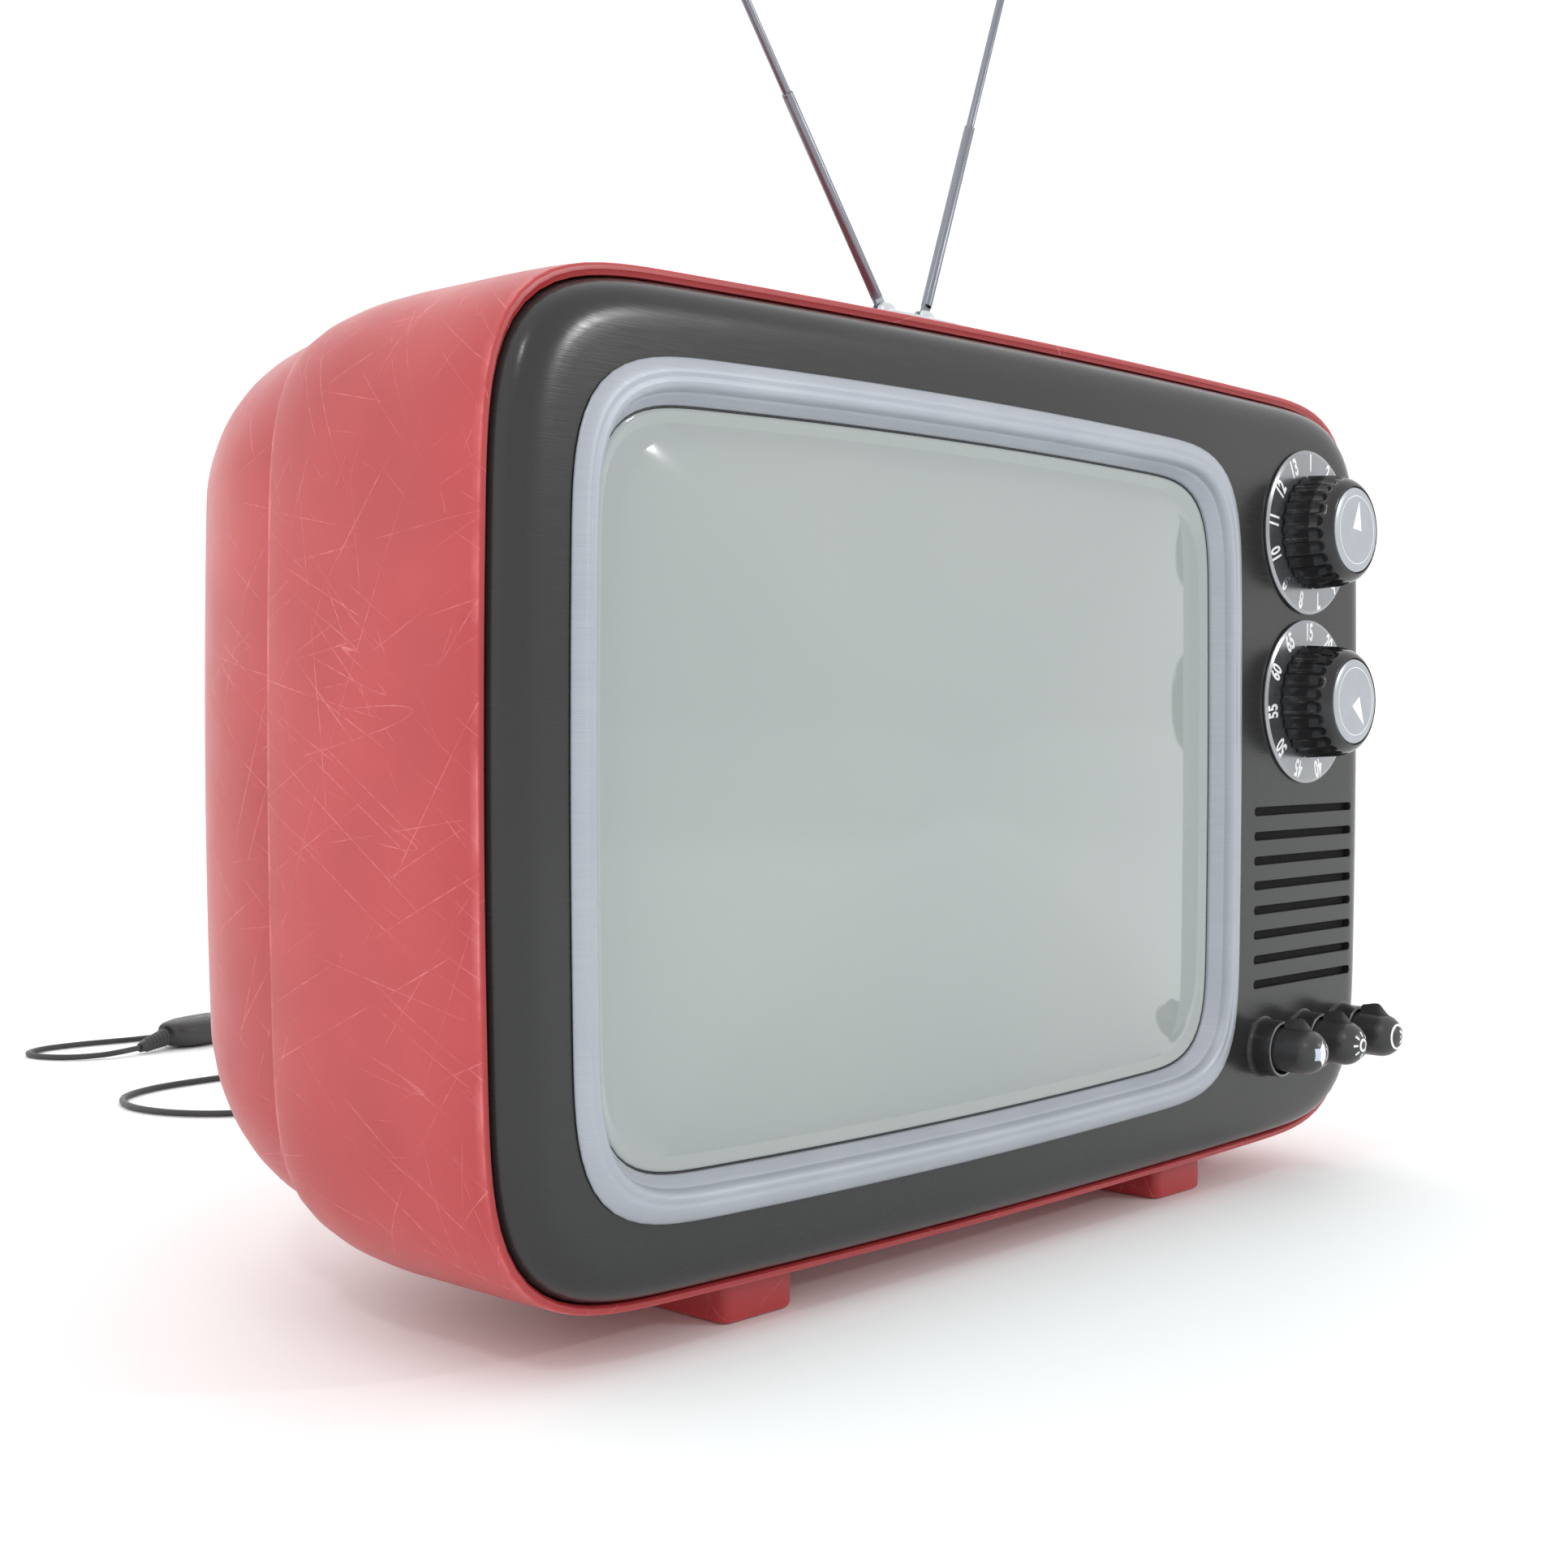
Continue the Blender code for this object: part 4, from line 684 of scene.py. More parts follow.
def case_back():
    """Rear half of the case: a domed cover with a neck housing, air slots and screw wells."""
    shares = [0.0, 0.03, 0.07] + [0.12 + 0.08 * k for k in range(8)]
    shares += [0.745, 0.80, 0.845, 0.885, 0.92, 0.948, 0.968, 0.983, 0.993, 0.998, 1.0]
    outer = [rear_ring(s) for s in shares]
    cover = loft(shifted(outer, 0.0003))
    hollow = loft(shifted([rear_ring(s, WALL) for s in shares[:-1]], -0.0022))
    mouth = loft(shifted([rear_ring(0.0, WALL), rear_ring(0.02, WALL)], -0.004))
    housing = [(0.0, 0.165), (0.0, 0.247), (0.0004, 0.2505), (0.0016, 0.2545), (0.0034, 0.2575),
               (0.0056, 0.2595), (0.0085, 0.2606), (0.012, TOTAL_DEPTH)]
    neck = loft([neck_ring(i, y) for i, y in housing])
    hole = ((WALL, 0.150), (WALL, 0.2465), (0.0048, 0.254), (0.011, TOTAL_DEPTH - WALL))
    inner = loft([neck_ring(i, y) for i, y in hole])
    walls, wells, holes = [], [], []
    for sx in (-1, 1):
        for sz in (-1, 1):
            centre = place(sx * BOSS_X, 0.0, sz * BOSS_Z)
            walls.append([circle(0.0075, y, 40, centre) for y in (0.090, 0.150)])
            wells.append([circle(r, y, 40, centre) for r, y in ((0.0052, 0.1005), (0.0052, 0.190))])
            holes.append([circle(0.0023, y, 24, centre) for y in (0.090, 0.110)])
    hollow = cut(hollow, joined_lofts(walls))
    slots = []
    for row in range(AIR_ROWS):
        z = AIR_TOP_Z - AIR_PITCH * row
        slots.append(bar(0.073, z, 0.039, AIR_HALF_WIDTH, 0.200, 0.184))
        if row % 2:
            slots.append(bar(-0.1115, z, 0.0105, AIR_HALF_WIDTH, 0.200, 0.184))
    top_slots = []
    for column in range(TOP_COLUMNS):
        x = TOP_FIRST_X + TOP_PITCH * column
        ring = bar(x, 0.0, TOP_HALF_LENGTH, AIR_HALF_WIDTH, 0.0, 0.05, upright=True)[0]
        low = [Vector((p.x, place(0, 0.132, 0).y + (p.z - CENTRE_Z), place(0, 0, 0.100).z)) for p in ring]
        high = [Vector((p.x, p.y, place(0, 0, 0.160).z)) for p in low]
        top_slots.append([low, high])
    gland_hole = [circle(0.0055, y, 40, place(GLAND_X, 0.0, GLAND_Z)) for y in (0.180, 0.200)]
    tools = [hollow, mouth, inner] + [joined_lofts(group) for group in (wells, holes, slots, top_slots)]
    tools.append(loft(gland_hole))
    cover = combine(cover, [("UNION", neck)] + [("DIFFERENCE", tool) for tool in tools])
    finish_piece("case_back", cover, RED, "television", ["rear_cover"])


def foot(name):
    """A rounded block under the case."""
    low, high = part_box(name)
    half_width, half_depth = (high.x - low.x) / 2, (high.y - low.y) / 2
    centre = (low + high) / 2
    rings = []
    for inset, z in ((0.0022, 0.0), (0.0012, 0.0002), (0.0005, 0.0007), (0.0001, 0.0015), (0.0, 0.0026),
                     (0.0, 0.0095), (0.0, 0.0168)):
        sides = block_outline(half_width - inset, half_depth - inset, 0.0036 - inset * 0.5, 6)
        rings.append([Vector((centre.x + a, centre.y + b, z)) for a, b in sides])
    # Marks per ring: below zero is painted shade, darker red at the base and up the block; the small values
    # above zero lighten the lower edge as wear.
    mesh = loft(rings, wear_and_shade=(-0.6, -0.3, 0.2, 0.1, -0.2, -0.35, -0.5))
    finish_piece(name + "_block", mesh, RED, "television", [name])


case_front()
case_back()
foot("left_foot")
foot("right_foot")


# ------------------------------------------------------------------ front panel and screen
SLOT_COUNT, SLOT_PITCH, SLOT_TOP_Z, SLOT_HALF, SLOT_WIDTH = 8, 0.00957, -0.0156, 0.0375, 0.0036
CONTROL_RADIUS, CONTROL_DOME_Y = 0.0085, -0.0289
COLLAR_RADIUS, COLLAR_BORE, COLLAR_FRONT = 0.0108, 0.0096, -0.0192


def front_panel():
    """Dark crowned panel with the screen opening and the sound slots."""
    face, back = PANEL_FACE, PANEL_FACE + 0.003
    crown = [(0.0, 0.0090), (0.0, 0.0016), (0.0001, 0.0), (0.0004, -0.0018), (0.0009, -0.0036),
             (0.0016, -0.0052), (0.0025, -0.0066), (0.0037, -0.0078), (0.0052, -0.0087), (0.0070, -0.0094),
             (0.0092, -0.0099), (0.0118, -0.01012), (0.0150, face)]
    rings = [panel_ring(i, y) for i, y in crown]
    rings += [frame_ring(0.0046, face), frame_ring(0.0046, back)]
    behind = ((0.0150, back), (0.0075, -0.0050), (0.0030, 0.0), (0.0030, 0.0090))
    rings += [panel_ring(i, y) for i, y in behind]
    panel = loft(rings, closed=True)
    slots = [bar(COLUMN_X, SLOT_TOP_Z - SLOT_PITCH * k, SLOT_HALF, SLOT_WIDTH / 2 - 0.0002,
                 face - 0.0001, 0.0, 0.00022) for k in range(SLOT_COUNT)]
    slots += [[circle(0.0045, y, 40, place(COLUMN_X, 0, z)) for y in (-0.02, 0.0)] for z in DIAL_Z]
    slots += [[circle(0.0038, y, 40, place(COLUMN_X + k * CONTROL_PITCH, 0, CONTROL_Z)) for y in (-0.02, 0.0)]
              for k in (-1, 0, 1)]
    panel = cut(panel, joined_lofts(slots))
    finish_piece("panel_moulding", panel, PANEL, "television", ["front_panel"])


def collar(number, x):
    """Round collar around a small control, with a lighter grey ring on its front edge, which is wear together
    with a painted highlight.
    """
    r, bore, front = COLLAR_RADIUS, COLLAR_BORE, COLLAR_FRONT
    axis = place(x, 0, CONTROL_Z)
    profile = [(bore, -0.0104), (bore, front + 0.0003), (bore + 0.0002, front), (r - 0.0004, front),
               (r - 0.0001, front + 0.0002), (r, front + 0.0006), (r + 0.0001, -0.0135),
               (r + 0.0002, -0.0120), (r + 0.0004, -0.0110), (r + 0.0009, -0.0104),
               (r + 0.0014, -0.01005), (r + 0.0014, -0.0095), (bore, -0.0095)]
    mesh = turned(profile, axis, True, 80)
    finish_piece(f"collar_{number}", mesh, PANEL, "television")
    # The lighter front ring paints the edge's highlight along with its wear.
    rim = [(bore + 0.0002, front - 0.00001), (r - 0.00025, front - 0.00001), (r - 0.00025, front + 0.0001),
           (bore + 0.0002, front + 0.0001)]
    mesh = turned(rim, axis, True, 80)
    finish_piece(f"collar_rim_{number}", mesh, RIM_GREY, "television")


def screen_frame():
    """Silver surround: a rolled bead, a shallow step, an inner roll, a groove and a lip towards the glass."""
    face = PANEL_FACE - 0.0003
    section = [(0.0, face), (0.0, -0.0108), (0.0003, -0.0112), (0.0010, -0.0117),
               (0.0020, -0.0122), (0.0030, -0.01255), (0.0040, -0.0128), (0.0047, -0.01275),
               (0.0053, -0.0125), (0.0059, -0.0126), (0.0066, -0.0128), (0.0073, -0.01275),
               (0.0080, -0.0124), (0.0086, -0.0117), (0.0090, -0.0107), (0.0093, -0.0096),
               (0.00936, -0.0093), (0.0096, -0.00915), (0.0104, -0.00805), (0.0115, -0.00655),
               (0.0123, -0.00548), (LIP_INSET, -0.0051), (LIP_INSET, -0.0036), (0.0052, -0.0036),
               (0.0052, face)]
    mesh = loft([frame_ring(i, y) for i, y in section], closed=True)
    finish_piece("screen_surround", mesh, SILVER, "television", ["screen_frame"], 50.0)


def funnel_ring(share_round, scale, y):
    """A ring of the tube's funnel, from the shape of the face (0) to a circle (1)."""
    box = outline(FRAME_HALF[0] - 0.0051, FRAME_HALF[1] - 0.0051, FRAME_CORNER, FRAME_BOW)
    points = []
    for x, z in box:
        blend = (1 - share_round) + share_round * 0.150 / math.hypot(x, z)
        points.append(place(FRAME_CENTRE_X + x * scale * blend, y, z * scale * blend))
    return points


def neck_circle(radius, y):
    """A round ring of the tube, with as many points as the rings of the face."""
    points = []
    for x, z in outline(FRAME_HALF[0], FRAME_HALF[1], FRAME_CORNER, FRAME_BOW):
        turn = math.atan2(z, x)
        points.append(place(FRAME_CENTRE_X + radius * math.cos(turn), y, radius * math.sin(turn)))
    return points


GLASS_BAND, GLASS_BAND_Y, GLASS_FRONT_Y = 0.0048, -0.0032, -0.0137


def glass_ring(share):
    """A ring of the bulging face, from the middle (0) to the inside of its edge band (1)."""
    inset = LIP_INSET + GLASS_BAND
    half_width, half_height = FRAME_HALF[0] - inset, FRAME_HALF[1] - inset
    pts = outline(half_width * share, half_height * share, (FRAME_CORNER - inset) * share, FRAME_BOW,
                  (FRAME_CENTRE_X, 0.0))
    rise = 1 - share ** 2.2
    y = GLASS_BAND_Y + (GLASS_FRONT_Y - GLASS_BAND_Y) * rise
    return [place(x, y, z) for x, z in pts]


def picture_tube():
    """Glass bulb: bulging face with an edge band, skirt, funnel and neck."""
    rings = [glass_ring(0.02 + 0.98 * k / 26) for k in range(27)]
    band = ((0.0040, -0.0035), (0.0028, -0.0041), (0.0018, -0.0045), (0.0012, -0.00455), (0.0008, -0.0044),
            (0.0006, -0.0040), (0.0006, -0.0030), (0.0003, -0.0026), (-0.0068, -0.0016), (-0.0074, -0.0006),
            (-0.0074, 0.024))
    rings += [frame_ring(LIP_INSET + inset, y) for inset, y in band]
    funnel = ((0.030, 0.0, 1.0), (0.058, 0.22, 0.82), (0.088, 0.50, 0.60), (0.112, 0.78, 0.42))
    rings += [funnel_ring(share_round, scale, y) for y, share_round, scale in funnel]
    neck = ((0.034, 0.128), (0.0195, 0.140), (0.0145, 0.148), (0.0145, 0.232))
    rings += [neck_circle(radius, y) for radius, y in neck]
    mesh = loft(rings)
    finish_piece("tube_glass", mesh, GLASS, "television", ["picture_tube"], 30.0)
    # A black ring in the gap between the lip and the glass, which paints the gap's shade.
    gap_shade_ring = [(LIP_INSET + 0.00003, -0.0043), (LIP_INSET + 0.00057, -0.0043), (LIP_INSET + 0.00057, -0.0034),
              (LIP_INSET + 0.00003, -0.0034)]
    mesh = loft([frame_ring(i, y) for i, y in gap_shade_ring], closed=True)
    finish_piece("glass_gap_shade_ring", mesh, BLACK, "television")


def sound_cloth():
    """Black sheet behind the sound slots, which paints the shade inside them."""
    middle = SLOT_TOP_Z - SLOT_PITCH * (SLOT_COUNT - 1) / 2
    back = PANEL_FACE + 0.0030
    rings = box_rings(place(COLUMN_X, 0, middle), 0.0400, 0.0370, back + 0.00005, back + 0.00025)
    finish_piece("sound_cloth", loft(rings), SHADE_SHEET, "television")


front_panel()
for step in (-1, 0, 1):
    collar(step + 2, COLUMN_X + step * CONTROL_PITCH)
sound_cloth()
screen_frame()
picture_tube()


# ------------------------------------------------------------------ dials and knobs
DIAL_RADIUS, KNOB_CAP_RADIUS, KNOB_FRONT = 0.0323, 0.0164, -0.0322
DIAL_BACK = PANEL_FACE - 0.0003
DIAL_FRONT = DIAL_BACK - 0.0013
NUMERAL_RADIUS, NUMERAL_SIZE, NUMERAL_SQUEEZE, NUMERAL_FATTEN = 0.0271, 0.0094, 0.60, 0.00028
FLUTES, FLUTE_DEPTH, FLUTE_END, FLUTE_MOUTH = 26, 0.0014, -0.0262, 0.0020


def dial_plate(prefix, z):
    """Flat satin disc with a bevelled edge."""
    r, back, front = DIAL_RADIUS, DIAL_BACK, DIAL_FRONT
    profile = [(0.0050, back), (r, back), (r, back - 0.0006), (r - 0.0002, back - 0.0008),
               (r - 0.0014, front), (r - 0.0016, front), (0.0050, front)]
    mesh = turned(profile, place(COLUMN_X, 0, z), True, 128)
    finish_piece(f"{prefix}_plate", mesh, DIAL, "television", [f"{prefix}_dial_plate"], 20.0)


def text_mesh(words):
    """A flat mesh of a number, centred on the origin of its own XZ plane."""
    curve = bpy.data.curves.new("words", "FONT")
    curve.body = words
    curve.size = NUMERAL_SIZE
    curve.align_x, curve.align_y = "CENTER", "CENTER"
    curve.offset = NUMERAL_FATTEN
    curve.space_character = 1.02
    curve.extrude = 0.00003
    holder = bpy.data.objects.new("words", curve)
    scene.collection.objects.link(holder)
    bpy.context.view_layer.update()
    mesh = bpy.data.meshes.new_from_object(holder.evaluated_get(bpy.context.evaluated_depsgraph_get()))
    bpy.data.objects.remove(holder)
    mesh.transform(Matrix.Rotation(math.radians(90), 4, "X") @ Matrix.Diagonal((NUMERAL_SQUEEZE, 1, 1, 1)))
    return mesh


def numerals(prefix, z, labels):
    """White numbers around a dial, with their tops outward."""
    points, faces = [], []
    face = DIAL_FRONT - 0.00003
    for number, words in enumerate(labels):
        turn = -2 * math.pi * number / len(labels)
        mesh = text_mesh(words)
        spin = Matrix.Translation(place(COLUMN_X, face, z)) @ Matrix.Rotation(-turn, 4, "Y")
        spin = spin @ Matrix.Translation((0, 0, NUMERAL_RADIUS))
        first = len(points)
        points += [spin @ v.co for v in mesh.vertices]
        faces += [tuple(first + i for i in polygon.vertices) for polygon in mesh.polygons]
        bpy.data.meshes.remove(mesh)
    made = mesh_of(points, faces)
    finish_piece(f"{prefix}_numerals", made, WHITE, "television")


def fluted_knob(prefix, z):
    """Black knob with scooped flutes that end in round mouths below a smooth shoulder."""
    axis = place(COLUMN_X, 0, z)
    back = DIAL_FRONT - 0.0004
    rows = [(back, 0.0221)] + [(back - 0.0003 - 0.0007 * k, 0.0223 - 0.00004 * k) for k in range(16)]
    rows += [(-0.0235, 0.02155), (-0.0245, 0.02140), (-0.0255, 0.02120), (-0.0265, 0.02095),
             (-0.0275, 0.02060), (-0.0285, 0.02020), (-0.0295, 0.01965), (-0.0304, 0.01895),
             (-0.0311, 0.01815), (-0.0315, 0.01748), (-0.0317, 0.01705)]
    per_flute = 12
    count = FLUTES * per_flute
    rings = []
    for y, radius in rows:
        ring = []
        past = max(0.0, (FLUTE_END - y) / FLUTE_MOUTH)
        for i in range(count):
            u = 2 * (i % per_flute) / per_flute - 1
            scoop = max(0.0, 1 - u * u - past * past)
            r = radius - FLUTE_DEPTH * scoop
            turn = 2 * math.pi * i / count
            ring.append(axis + Vector((r * math.cos(turn), y, r * math.sin(turn))))
        rings.append(ring)
    for r, y in ((0.0169, -0.0316), (0.0169, -0.0303), (0.0034, -0.0303), (0.0034, -0.0270), (0.0034, back)):
        rings.append(circle(r, y, count, axis))
    mesh = loft(rings, closed=True)
    finish_piece(f"{prefix}_grip", mesh, KNOB, f"{prefix}_selector", [f"{prefix}_knob"],
                 60.0)


def knob_cap(prefix, z, pointer_turn):
    """Silver cap with a bevelled edge, an engraved ring and a white pointer."""
    axis = place(COLUMN_X, 0, z)
    front = KNOB_FRONT - 0.0001
    r = KNOB_CAP_RADIUS
    profile = [(r, KNOB_FRONT + 0.0019), (r, front + 0.0009), (r - 0.0001, front + 0.0006),
               (r - 0.0009, front + 0.00025), (r - 0.0012, front + 0.00015), (0.01335, front + 0.00002),
               (0.01325, front + 0.00012), (0.01315, front + 0.00012), (0.01305, front + 0.00002),
               (0.0060, front), (0.0002, front)]
    mesh = turned(profile, axis, False, 96)
    body = f"{prefix}_selector"
    finish_piece(f"{prefix}_cap", mesh, CAP, body, [f"{prefix}_knob_cap"], 25.0)
    ring = [(0.01332, front + 0.00010), (0.01308, front + 0.00010), (0.01308, front + 0.00004),
            (0.01332, front + 0.00004)]
    mesh = turned(ring, axis, True, 96)
    finish_piece(f"{prefix}_cap_ring", mesh, WHITE, body)
    turn = Matrix.Rotation(math.radians(pointer_turn), 4, "Y")
    corners = [Vector((-0.0033, 0, 0.0)), Vector((0.0033, 0, 0.0)), Vector((0.0, 0, 0.0113))]
    points = [axis + Vector((0, front - lift, 0)) + turn @ c for lift in (0.00001, 0.00005) for c in corners]
    faces = [(0, 1, 2), (5, 4, 3), (0, 3, 4, 1), (1, 4, 5, 2), (2, 5, 3, 0)]
    mesh = mesh_of(points, faces)
    finish_piece(f"{prefix}_pointer", mesh, WHITE, body)


for dial_name, dial_z, labels, aim in (("vhf", DIAL_Z[0], [str(n) for n in range(1, 14)], 7.0),
                                       ("uhf", DIAL_Z[1], [str(n) for n in range(15, 70, 5)], 145.0)):
    dial_plate(dial_name, dial_z)
    numerals(dial_name, dial_z, labels)
    fluted_knob(dial_name, dial_z)
    knob_cap(dial_name, dial_z, aim)


# ------------------------------------------------------------------ small controls
DOME_DEPTH = 0.0081


def dome_point(axis, u, v, lift):
    """A point on a control's domed end, at (u, v) across it."""
    share = min(0.999, math.hypot(u, v) / CONTROL_RADIUS)
    return axis + Vector((u, CONTROL_DOME_Y - DOME_DEPTH * math.sqrt(1 - share * share) - lift, v))


def small_knob(prefix, x):
    """Domed knob whose round top carries a tapering pointer fin."""
    axis = place(x, 0, CONTROL_Z)
    r = CONTROL_RADIUS
    profile = [(r - 0.0004, -0.0110), (r - 0.0002, -0.0150), (r, -0.0250), (r, CONTROL_DOME_Y + 0.0010)]
    profile += [(r * math.cos(t), CONTROL_DOME_Y - DOME_DEPTH * math.sin(t))
                for t in (math.pi / 2 * k / 18 for k in range(18))]
    knob = turned(profile, axis, False, 72)
    sections = [(-0.0196, 0.0021, 0.0108), (-0.0206, 0.0021, 0.0117), (-0.0225, 0.0021, 0.01195),
                (-0.0250, 0.0019, 0.0125), (-0.0272, 0.0019, 0.0126), (-0.0284, 0.0020, 0.0119),
                (-0.0298, 0.0020, 0.0103), (-0.0312, 0.0020, 0.0088), (-0.0326, 0.0020, 0.0074)]
    foot_z = 0.0055
    rings = []
    for y, half, height in sections:
        ring = []
        for k in range(17):
            u = k / 8 - 1
            ring.append(axis + Vector((half * u, y, foot_z + (height - foot_z) * (1 - abs(u) ** 1.15))))
        ring.append(axis + Vector((half, y, 0.0045)))
        ring.append(axis + Vector((-half, y, 0.0045)))
        rings.append(ring)
    knob = combine(knob, [("UNION", loft(rings))])
    finish_piece(f"{prefix}_knob_body", knob, CONTROL, f"{prefix}_control",
                 [f"{prefix}_knob"], 30.0)


def dome_print(name, prefix, x, shapes, look):
    """Printed shapes on a domed end. Each shape is a list of rows of (u, v) points, skinned as a grid."""
    axis = place(x, 0, CONTROL_Z)
    points, faces = [], []
    for rows in shapes:
        first = len(points)
        across = len(rows[0])
        points += [dome_point(axis, u, v, 0.00005) for row in rows for u, v in row]
        for a in range(len(rows) - 1):
            for b in range(across - 1):
                i = first + a * across + b
                faces.append((i, i + 1, i + 1 + across, i + across))
    mesh = bpy.data.meshes.new(name)
    mesh.from_pydata([tuple(p) for p in points], [], faces)
    bm = bmesh.new()
    bm.from_mesh(mesh)
    for face in bm.faces:
        if face.normal.y > 0:
            face.normal_flip()
    bm.to_mesh(mesh)
    bm.free()
    finish_piece(name, mesh, look, f"{prefix}_control")


def arc_band(inner, outer, start, end, steps=24):
    """Rows of points for a ring or an arc, in degrees."""
    rows = []
    for r in (inner, (inner + outer) / 2, outer):
        rows.append([(r * math.cos(t), r * math.sin(t))
                     for t in (math.radians(start + (end - start) * k / steps) for k in range(steps + 1))])
    return rows


def patch(corners, steps=6):
    """Rows of points between four corners."""
    a, b, c, d = corners
    rows = []
    for i in range(steps + 1):
        s = i / steps
        left = (a[0] + (d[0] - a[0]) * s, a[1] + (d[1] - a[1]) * s)
        right = (b[0] + (c[0] - b[0]) * s, b[1] + (c[1] - b[1]) * s)
        rows.append([(left[0] + (right[0] - left[0]) * k / steps, left[1] + (right[1] - left[1]) * k / steps)
                     for k in range(steps + 1)])
    return rows


def shifted_rows(rows, u, v):
    """The same rows of points, moved across the dome."""
    return [[(a + u, b + v) for a, b in row] for row in rows]


MM = 0.001


def millimetres(*corners):
    """Corners given in millimetres."""
    return [(u * MM, v * MM) for u, v in corners]


def ray(turn):
    """One ray of the sun symbol."""
    c, s = math.cos(turn), math.sin(turn)
    return patch(millimetres(*((r * c + side * s, r * s - side * c)
                               for r, side in ((3.3, -0.35), (5.1, -0.45), (5.1, 0.45), (3.3, 0.35)))))


for control_name, step in (("volume", -1), ("brightness", 0), ("contrast", 1)):
    small_knob(control_name, COLUMN_X + step * CONTROL_PITCH)
speaker_box = patch(millimetres((-4.9, -2.3), (-2.6, -2.3), (-2.6, 2.3), (-4.9, 2.3)))
horn = patch(millimetres((-2.6, -2.3), (0.2, -5.1), (0.2, 5.1), (-2.6, 2.3)))
waves = [shifted_rows(arc_band(r * MM, (r + 0.45) * MM, -52, 52), -0.6 * MM, 0.0) for r in (2.6, 4.0)]
dome_print("volume_box_print", "volume", COLUMN_X - CONTROL_PITCH, [speaker_box], BLUISH)
dome_print("volume_horn_print", "volume", COLUMN_X - CONTROL_PITCH, [horn] + waves, WHITE)
sun = [arc_band(1.65 * MM, 2.6 * MM, 0, 360, 36)] + [ray(math.pi * k / 4) for k in range(8)]
dome_print("brightness_print", "brightness", COLUMN_X, sun, WHITE)
half_moon = [arc_band(4.4 * MM, 5.1 * MM, 0, 360, 48), arc_band(0.0, 4.5 * MM, -90, 90)]
dome_print("contrast_print", "contrast", COLUMN_X + CONTROL_PITCH, half_moon, WHITE)


# ------------------------------------------------------------------ antenna
ANTENNA_Y, PIVOT_X, PIVOT_LIFT = 0.0474, 0.0108, 0.0122
ROD_RADII = (0.0020, 0.0015, 0.0010, 0.00055)
ROD_LENGTH, ROD_STEP, FIRST_STEP = 0.076, 0.0700, 0.0813
TOP = CASE_HEIGHT / 2


def upright(profile, count, closed=False):
    """Revolve (radius, z) points about the vertical through the origin."""
    return loft([level_circle(r, z, count) for r, z in profile], closed)


def antenna_base():
    """Rounded plinth with two round seats for the swivels."""
    centre = place(0, ANTENNA_Y, TOP)
    rings = []
    for inset, z in ((0.0012, 0.0004), (0.0, 0.0012), (0.0, 0.0098), (0.0002, 0.0104), (0.0007, 0.0109),
                     (0.0014, 0.0112), (0.0040, 0.0112)):
        sides = block_outline(0.0192 - inset, 0.0112 - inset, 0.0030, 6)
        rings.append([centre + Vector((a, b, z)) for a, b in sides])
    seats = [[level_circle(0.0048, z, 40, place(side * PIVOT_X, ANTENNA_Y, TOP)) for z in (0.0030, 0.02)]
             for side in (-1, 1)]
    mesh = cut(loft(rings), joined_lofts(seats))
    finish_piece("antenna_plinth", mesh, PALE, "television", ["antenna_base"])


def round_blade():
    """The flat end of the first stage, round at its foot, as a separate tool."""
    outline_points = [(0.0019 * math.cos(t), 0.0019 * math.sin(t))
                      for t in (math.pi * (1 + k / 12) for k in range(13))]
    outline_points += [(0.0019, 0.0075), (-0.0019, 0.0075)]
    return loft([[Vector((x, y, z)) for x, z in outline_points] for y in (-0.0008, 0.0008)])


def slot_block():
    """The block that cuts the swivel's slot."""
    return loft([[Vector((a * 0.0060, b * 0.0012, z)) for a, b in SQUARE] for z in (0.0092, 0.0172)])


def antenna_arm(prefix, side, tilt, yaw):
    """Domed swivel with its slot, and four drawn-out stages."""
    at = place(side * PIVOT_X, ANTENNA_Y, TOP)
    turn = Matrix.Translation(at) @ Matrix.Rotation(yaw, 4, "Z")
    dome = [(0.0045, 0.0033), (0.0045, 0.0116), (0.0044, 0.0127), (0.0041, 0.0137), (0.0036, 0.0145),
            (0.0029, 0.0151), (0.0020, 0.01548), (0.0008, 0.0156)]
    mesh = cut(upright(dome, 48), slot_block())
    mesh.transform(turn)
    finish_piece(f"{prefix}_dome", mesh, PALE, f"{prefix}_antenna_swivel", [f"{prefix}_swivel"])
    lean = Matrix.Translation(at + Vector((0, 0, PIVOT_LIFT))) @ Matrix.Rotation(yaw, 4, "Z")
    lean = lean @ Matrix.Rotation(tilt, 4, "Y")
    for stage in (1, 2, 3, 4):
        end = FIRST_STEP + ROD_STEP * (stage - 1)
        start = end - ROD_LENGTH if stage > 1 else 0.0056
        r = ROD_RADII[stage - 1]
        if stage < 4:
            bore = ROD_RADII[stage] + 0.0001
            profile = [(bore, start), (r - 0.0001, start), (r, start + 0.0004), (r, end - 0.0016),
                       (r * 0.965, end - 0.0012), (r, end - 0.0008), (r, end - 0.0003),
                       (r * 0.95, end - 0.00005), (bore, end)]
        else:
            profile = [(r * 0.6, start), (r, start + 0.0004), (r, end), (0.0012, end + 0.0002),
                       (0.0016, end + 0.0008), (0.0017, end + 0.0015), (0.0016, end + 0.0023),
                       (0.0013, end + 0.0029), (0.0008, end + 0.0033)]
        mesh = upright(profile, 32, stage < 4)
        if stage == 1:
            mesh = combine(mesh, [("UNION", round_blade())])
        mesh.transform(lean)
        finish_piece(f"{prefix}_stage_{stage}", mesh, CHROME, f"{prefix}_antenna_stage_{stage}",
                     [f"{prefix}_rod_{stage}"])


antenna_base()
antenna_arm("left", -1, math.radians(34.4), math.radians(175.7))
antenna_arm("right", 1, math.radians(22.9), math.radians(6.9))


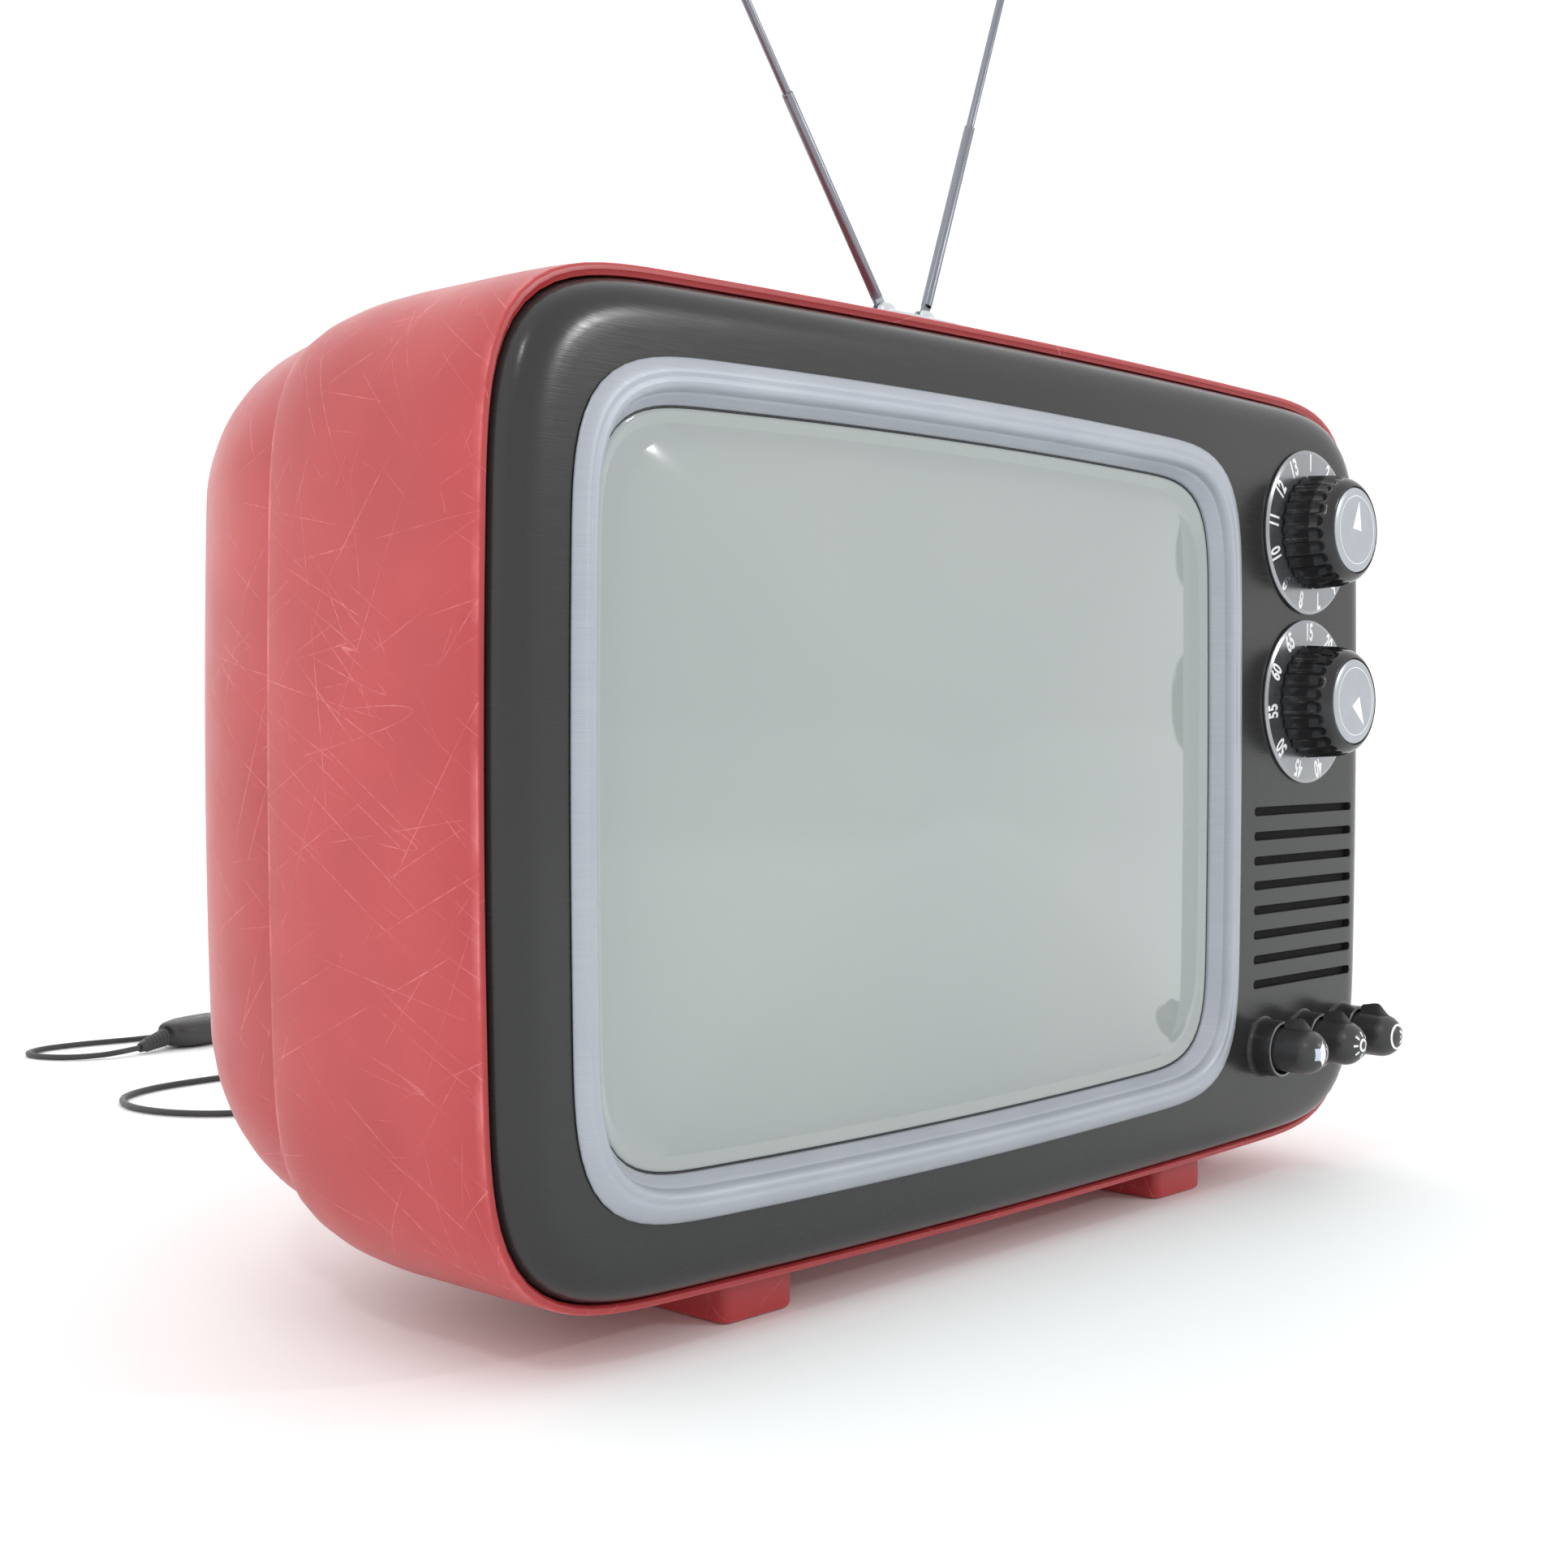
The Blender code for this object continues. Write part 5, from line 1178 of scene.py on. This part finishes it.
# ------------------------------------------------------------------ rear fittings
def rear_screw(name, centre):
    """Pan head with a cross recess."""
    profile = [(0.0014, 0.0835), (0.0014, 0.1008), (0.0038, 0.1008), (0.0040, 0.1011), (0.0040, 0.1019),
               (0.0036, 0.1026), (0.0028, 0.1031), (0.0016, 0.10338), (0.0004, 0.1034)]
    screw = turned(profile, centre, False, 40)
    for half_width, half_height in ((0.0022, 0.00045), (0.00045, 0.0022)):
        screw = cut(screw, loft(box_rings(centre, half_width, half_height, 0.1022, 0.106)))
    finish_piece(f"{name}_screw", screw, STEEL, "television", [f"rear_screw_{name}"])


def lead_gland():
    """Flanged gland with a ribbed, tapering strain relief."""
    wall = SHELL_DEPTH + REAR_DEPTH + 0.0006
    profile = [(0.0052, wall - 0.0056), (0.0052, wall), (0.0080, wall), (0.0081, wall + 0.0008),
               (0.0076, wall + 0.0016), (0.0062, wall + 0.0022)]
    for k in range(25):
        t = k / 24
        wave = 0.5 - 0.5 * math.cos(2 * math.pi * 4 * t)
        profile.append((0.0054 - 0.0022 * t + 0.0004 * wave, wall + 0.0030 + 0.0225 * t))
    profile += [(0.0029, GLAND_END - 0.0010), (0.0025, GLAND_END - 0.0003)]
    mesh = turned(profile, place(GLAND_X, 0, GLAND_Z), False, 48)
    finish_piece("lead_gland", mesh, RUBBER, "television", ["cord_gland"])


def terminal_strip():
    """Small block with two slotted screws for an outside antenna."""
    low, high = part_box("antenna_terminal_strip")
    centre = (low + high) / 2
    back = low.y + 0.0028
    rings = []
    for inset, y in ((0.0003, low.y), (0.0, low.y + 0.0003), (0.0, back - 0.0006), (0.0003, back - 0.0001),
                     (0.0008, back)):
        sides = block_outline(0.0100 - inset, 0.0045 - inset, 0.0008, 4)
        rings.append([Vector((centre.x + a, y, centre.z + b)) for a, b in sides])
    finish_piece("terminal_block", loft(rings), BLACK, "television",
                 ["antenna_terminal_strip"])
    for side in (-1, 1):
        at = Vector((centre.x + side * 0.0055, 0.0, centre.z))
        profile = [(0.0024, back - 0.0004), (0.0024, back + 0.0009), (0.0020, back + 0.0014),
                   (0.0012, back + 0.0016)]
        screw = turned(profile, at, False, 32)
        screw = cut(screw, loft(box_rings(at, 0.003, 0.0003, back + 0.0009, back + 0.003)))
        finish_piece(f"terminal_screw_{side + 2}", screw, STEEL, "television")


for screw_name, sx, sz in (("upper_left", -1, 1), ("upper_right", 1, 1), ("lower_left", -1, -1),
                           ("lower_right", 1, -1)):
    rear_screw(screw_name, place(sx * BOSS_X, 0.0, sz * BOSS_Z))
lead_gland()
terminal_strip()


# ------------------------------------------------------------------ floor and light
LAMP_TARGET = Vector((0.0, 0.0, 0.15))
STUDIO_FRONT, STUDIO_BACK = 1.01, 1.36     # strength of the surroundings in front of the set and behind it


def floor():
    """A wide pale floor."""
    look = Look("pale_floor", (0.935, 0.98, 0.98), 0.6)
    look.feed("Base Color", look.drift(0.4, (0.95, 0.975, 0.975), (0.96, 0.985, 0.985)))
    look.set("Specular IOR Level", 0.2)
    mesh = bpy.data.meshes.new("floor")
    reach = 30.0
    corners = [(-reach, -reach, 0), (reach, -reach, 0), (reach, reach, 0), (-reach, reach, 0)]
    mesh.from_pydata(corners, [], [(0, 1, 2, 3)])
    mesh.materials.append(look.material)
    made = bpy.data.objects.new("floor", mesh)
    scene.collection.objects.link(made)


def area_light(name, at, size, watts):
    """A round lamp that faces the middle of the set."""
    data = bpy.data.lights.new(name, "AREA")
    data.shape = "DISK"
    data.size = size
    data.energy = watts
    made = bpy.data.objects.new(name, data)
    made.location = at
    made.rotation_euler = (LAMP_TARGET - Vector(at)).to_track_quat("-Z", "Y").to_euler()
    scene.collection.objects.link(made)


def surroundings():
    """White surroundings, brighter on the side behind the set."""
    world = bpy.data.worlds.new("studio")
    scene.world = world
    world.use_nodes = True
    tree = world.node_tree
    background = tree.nodes["Background"]
    background.inputs["Color"].default_value = (1.0, 1.0, 1.0, 1.0)
    direction = tree.nodes.new("ShaderNodeTexCoord").outputs["Generated"]
    split = tree.nodes.new("ShaderNodeSeparateXYZ")
    ramp = tree.nodes.new("ShaderNodeMapRange")
    for socket, value in zip(ramp.inputs[1:5], (-0.5, 0.3, STUDIO_FRONT, STUDIO_BACK)):
        socket.default_value = value
    tree.links.new(direction, split.inputs[0])
    tree.links.new(split.outputs["Y"], ramp.inputs[0])
    tree.links.new(ramp.outputs[0], background.inputs["Strength"])


floor()
surroundings()
area_light("key_lamp", (1.246, -2.010, 1.052), 0.070, 8.0)
area_light("side_lamp", (-1.7, -1.1, 2.0), 0.25, 6.0)
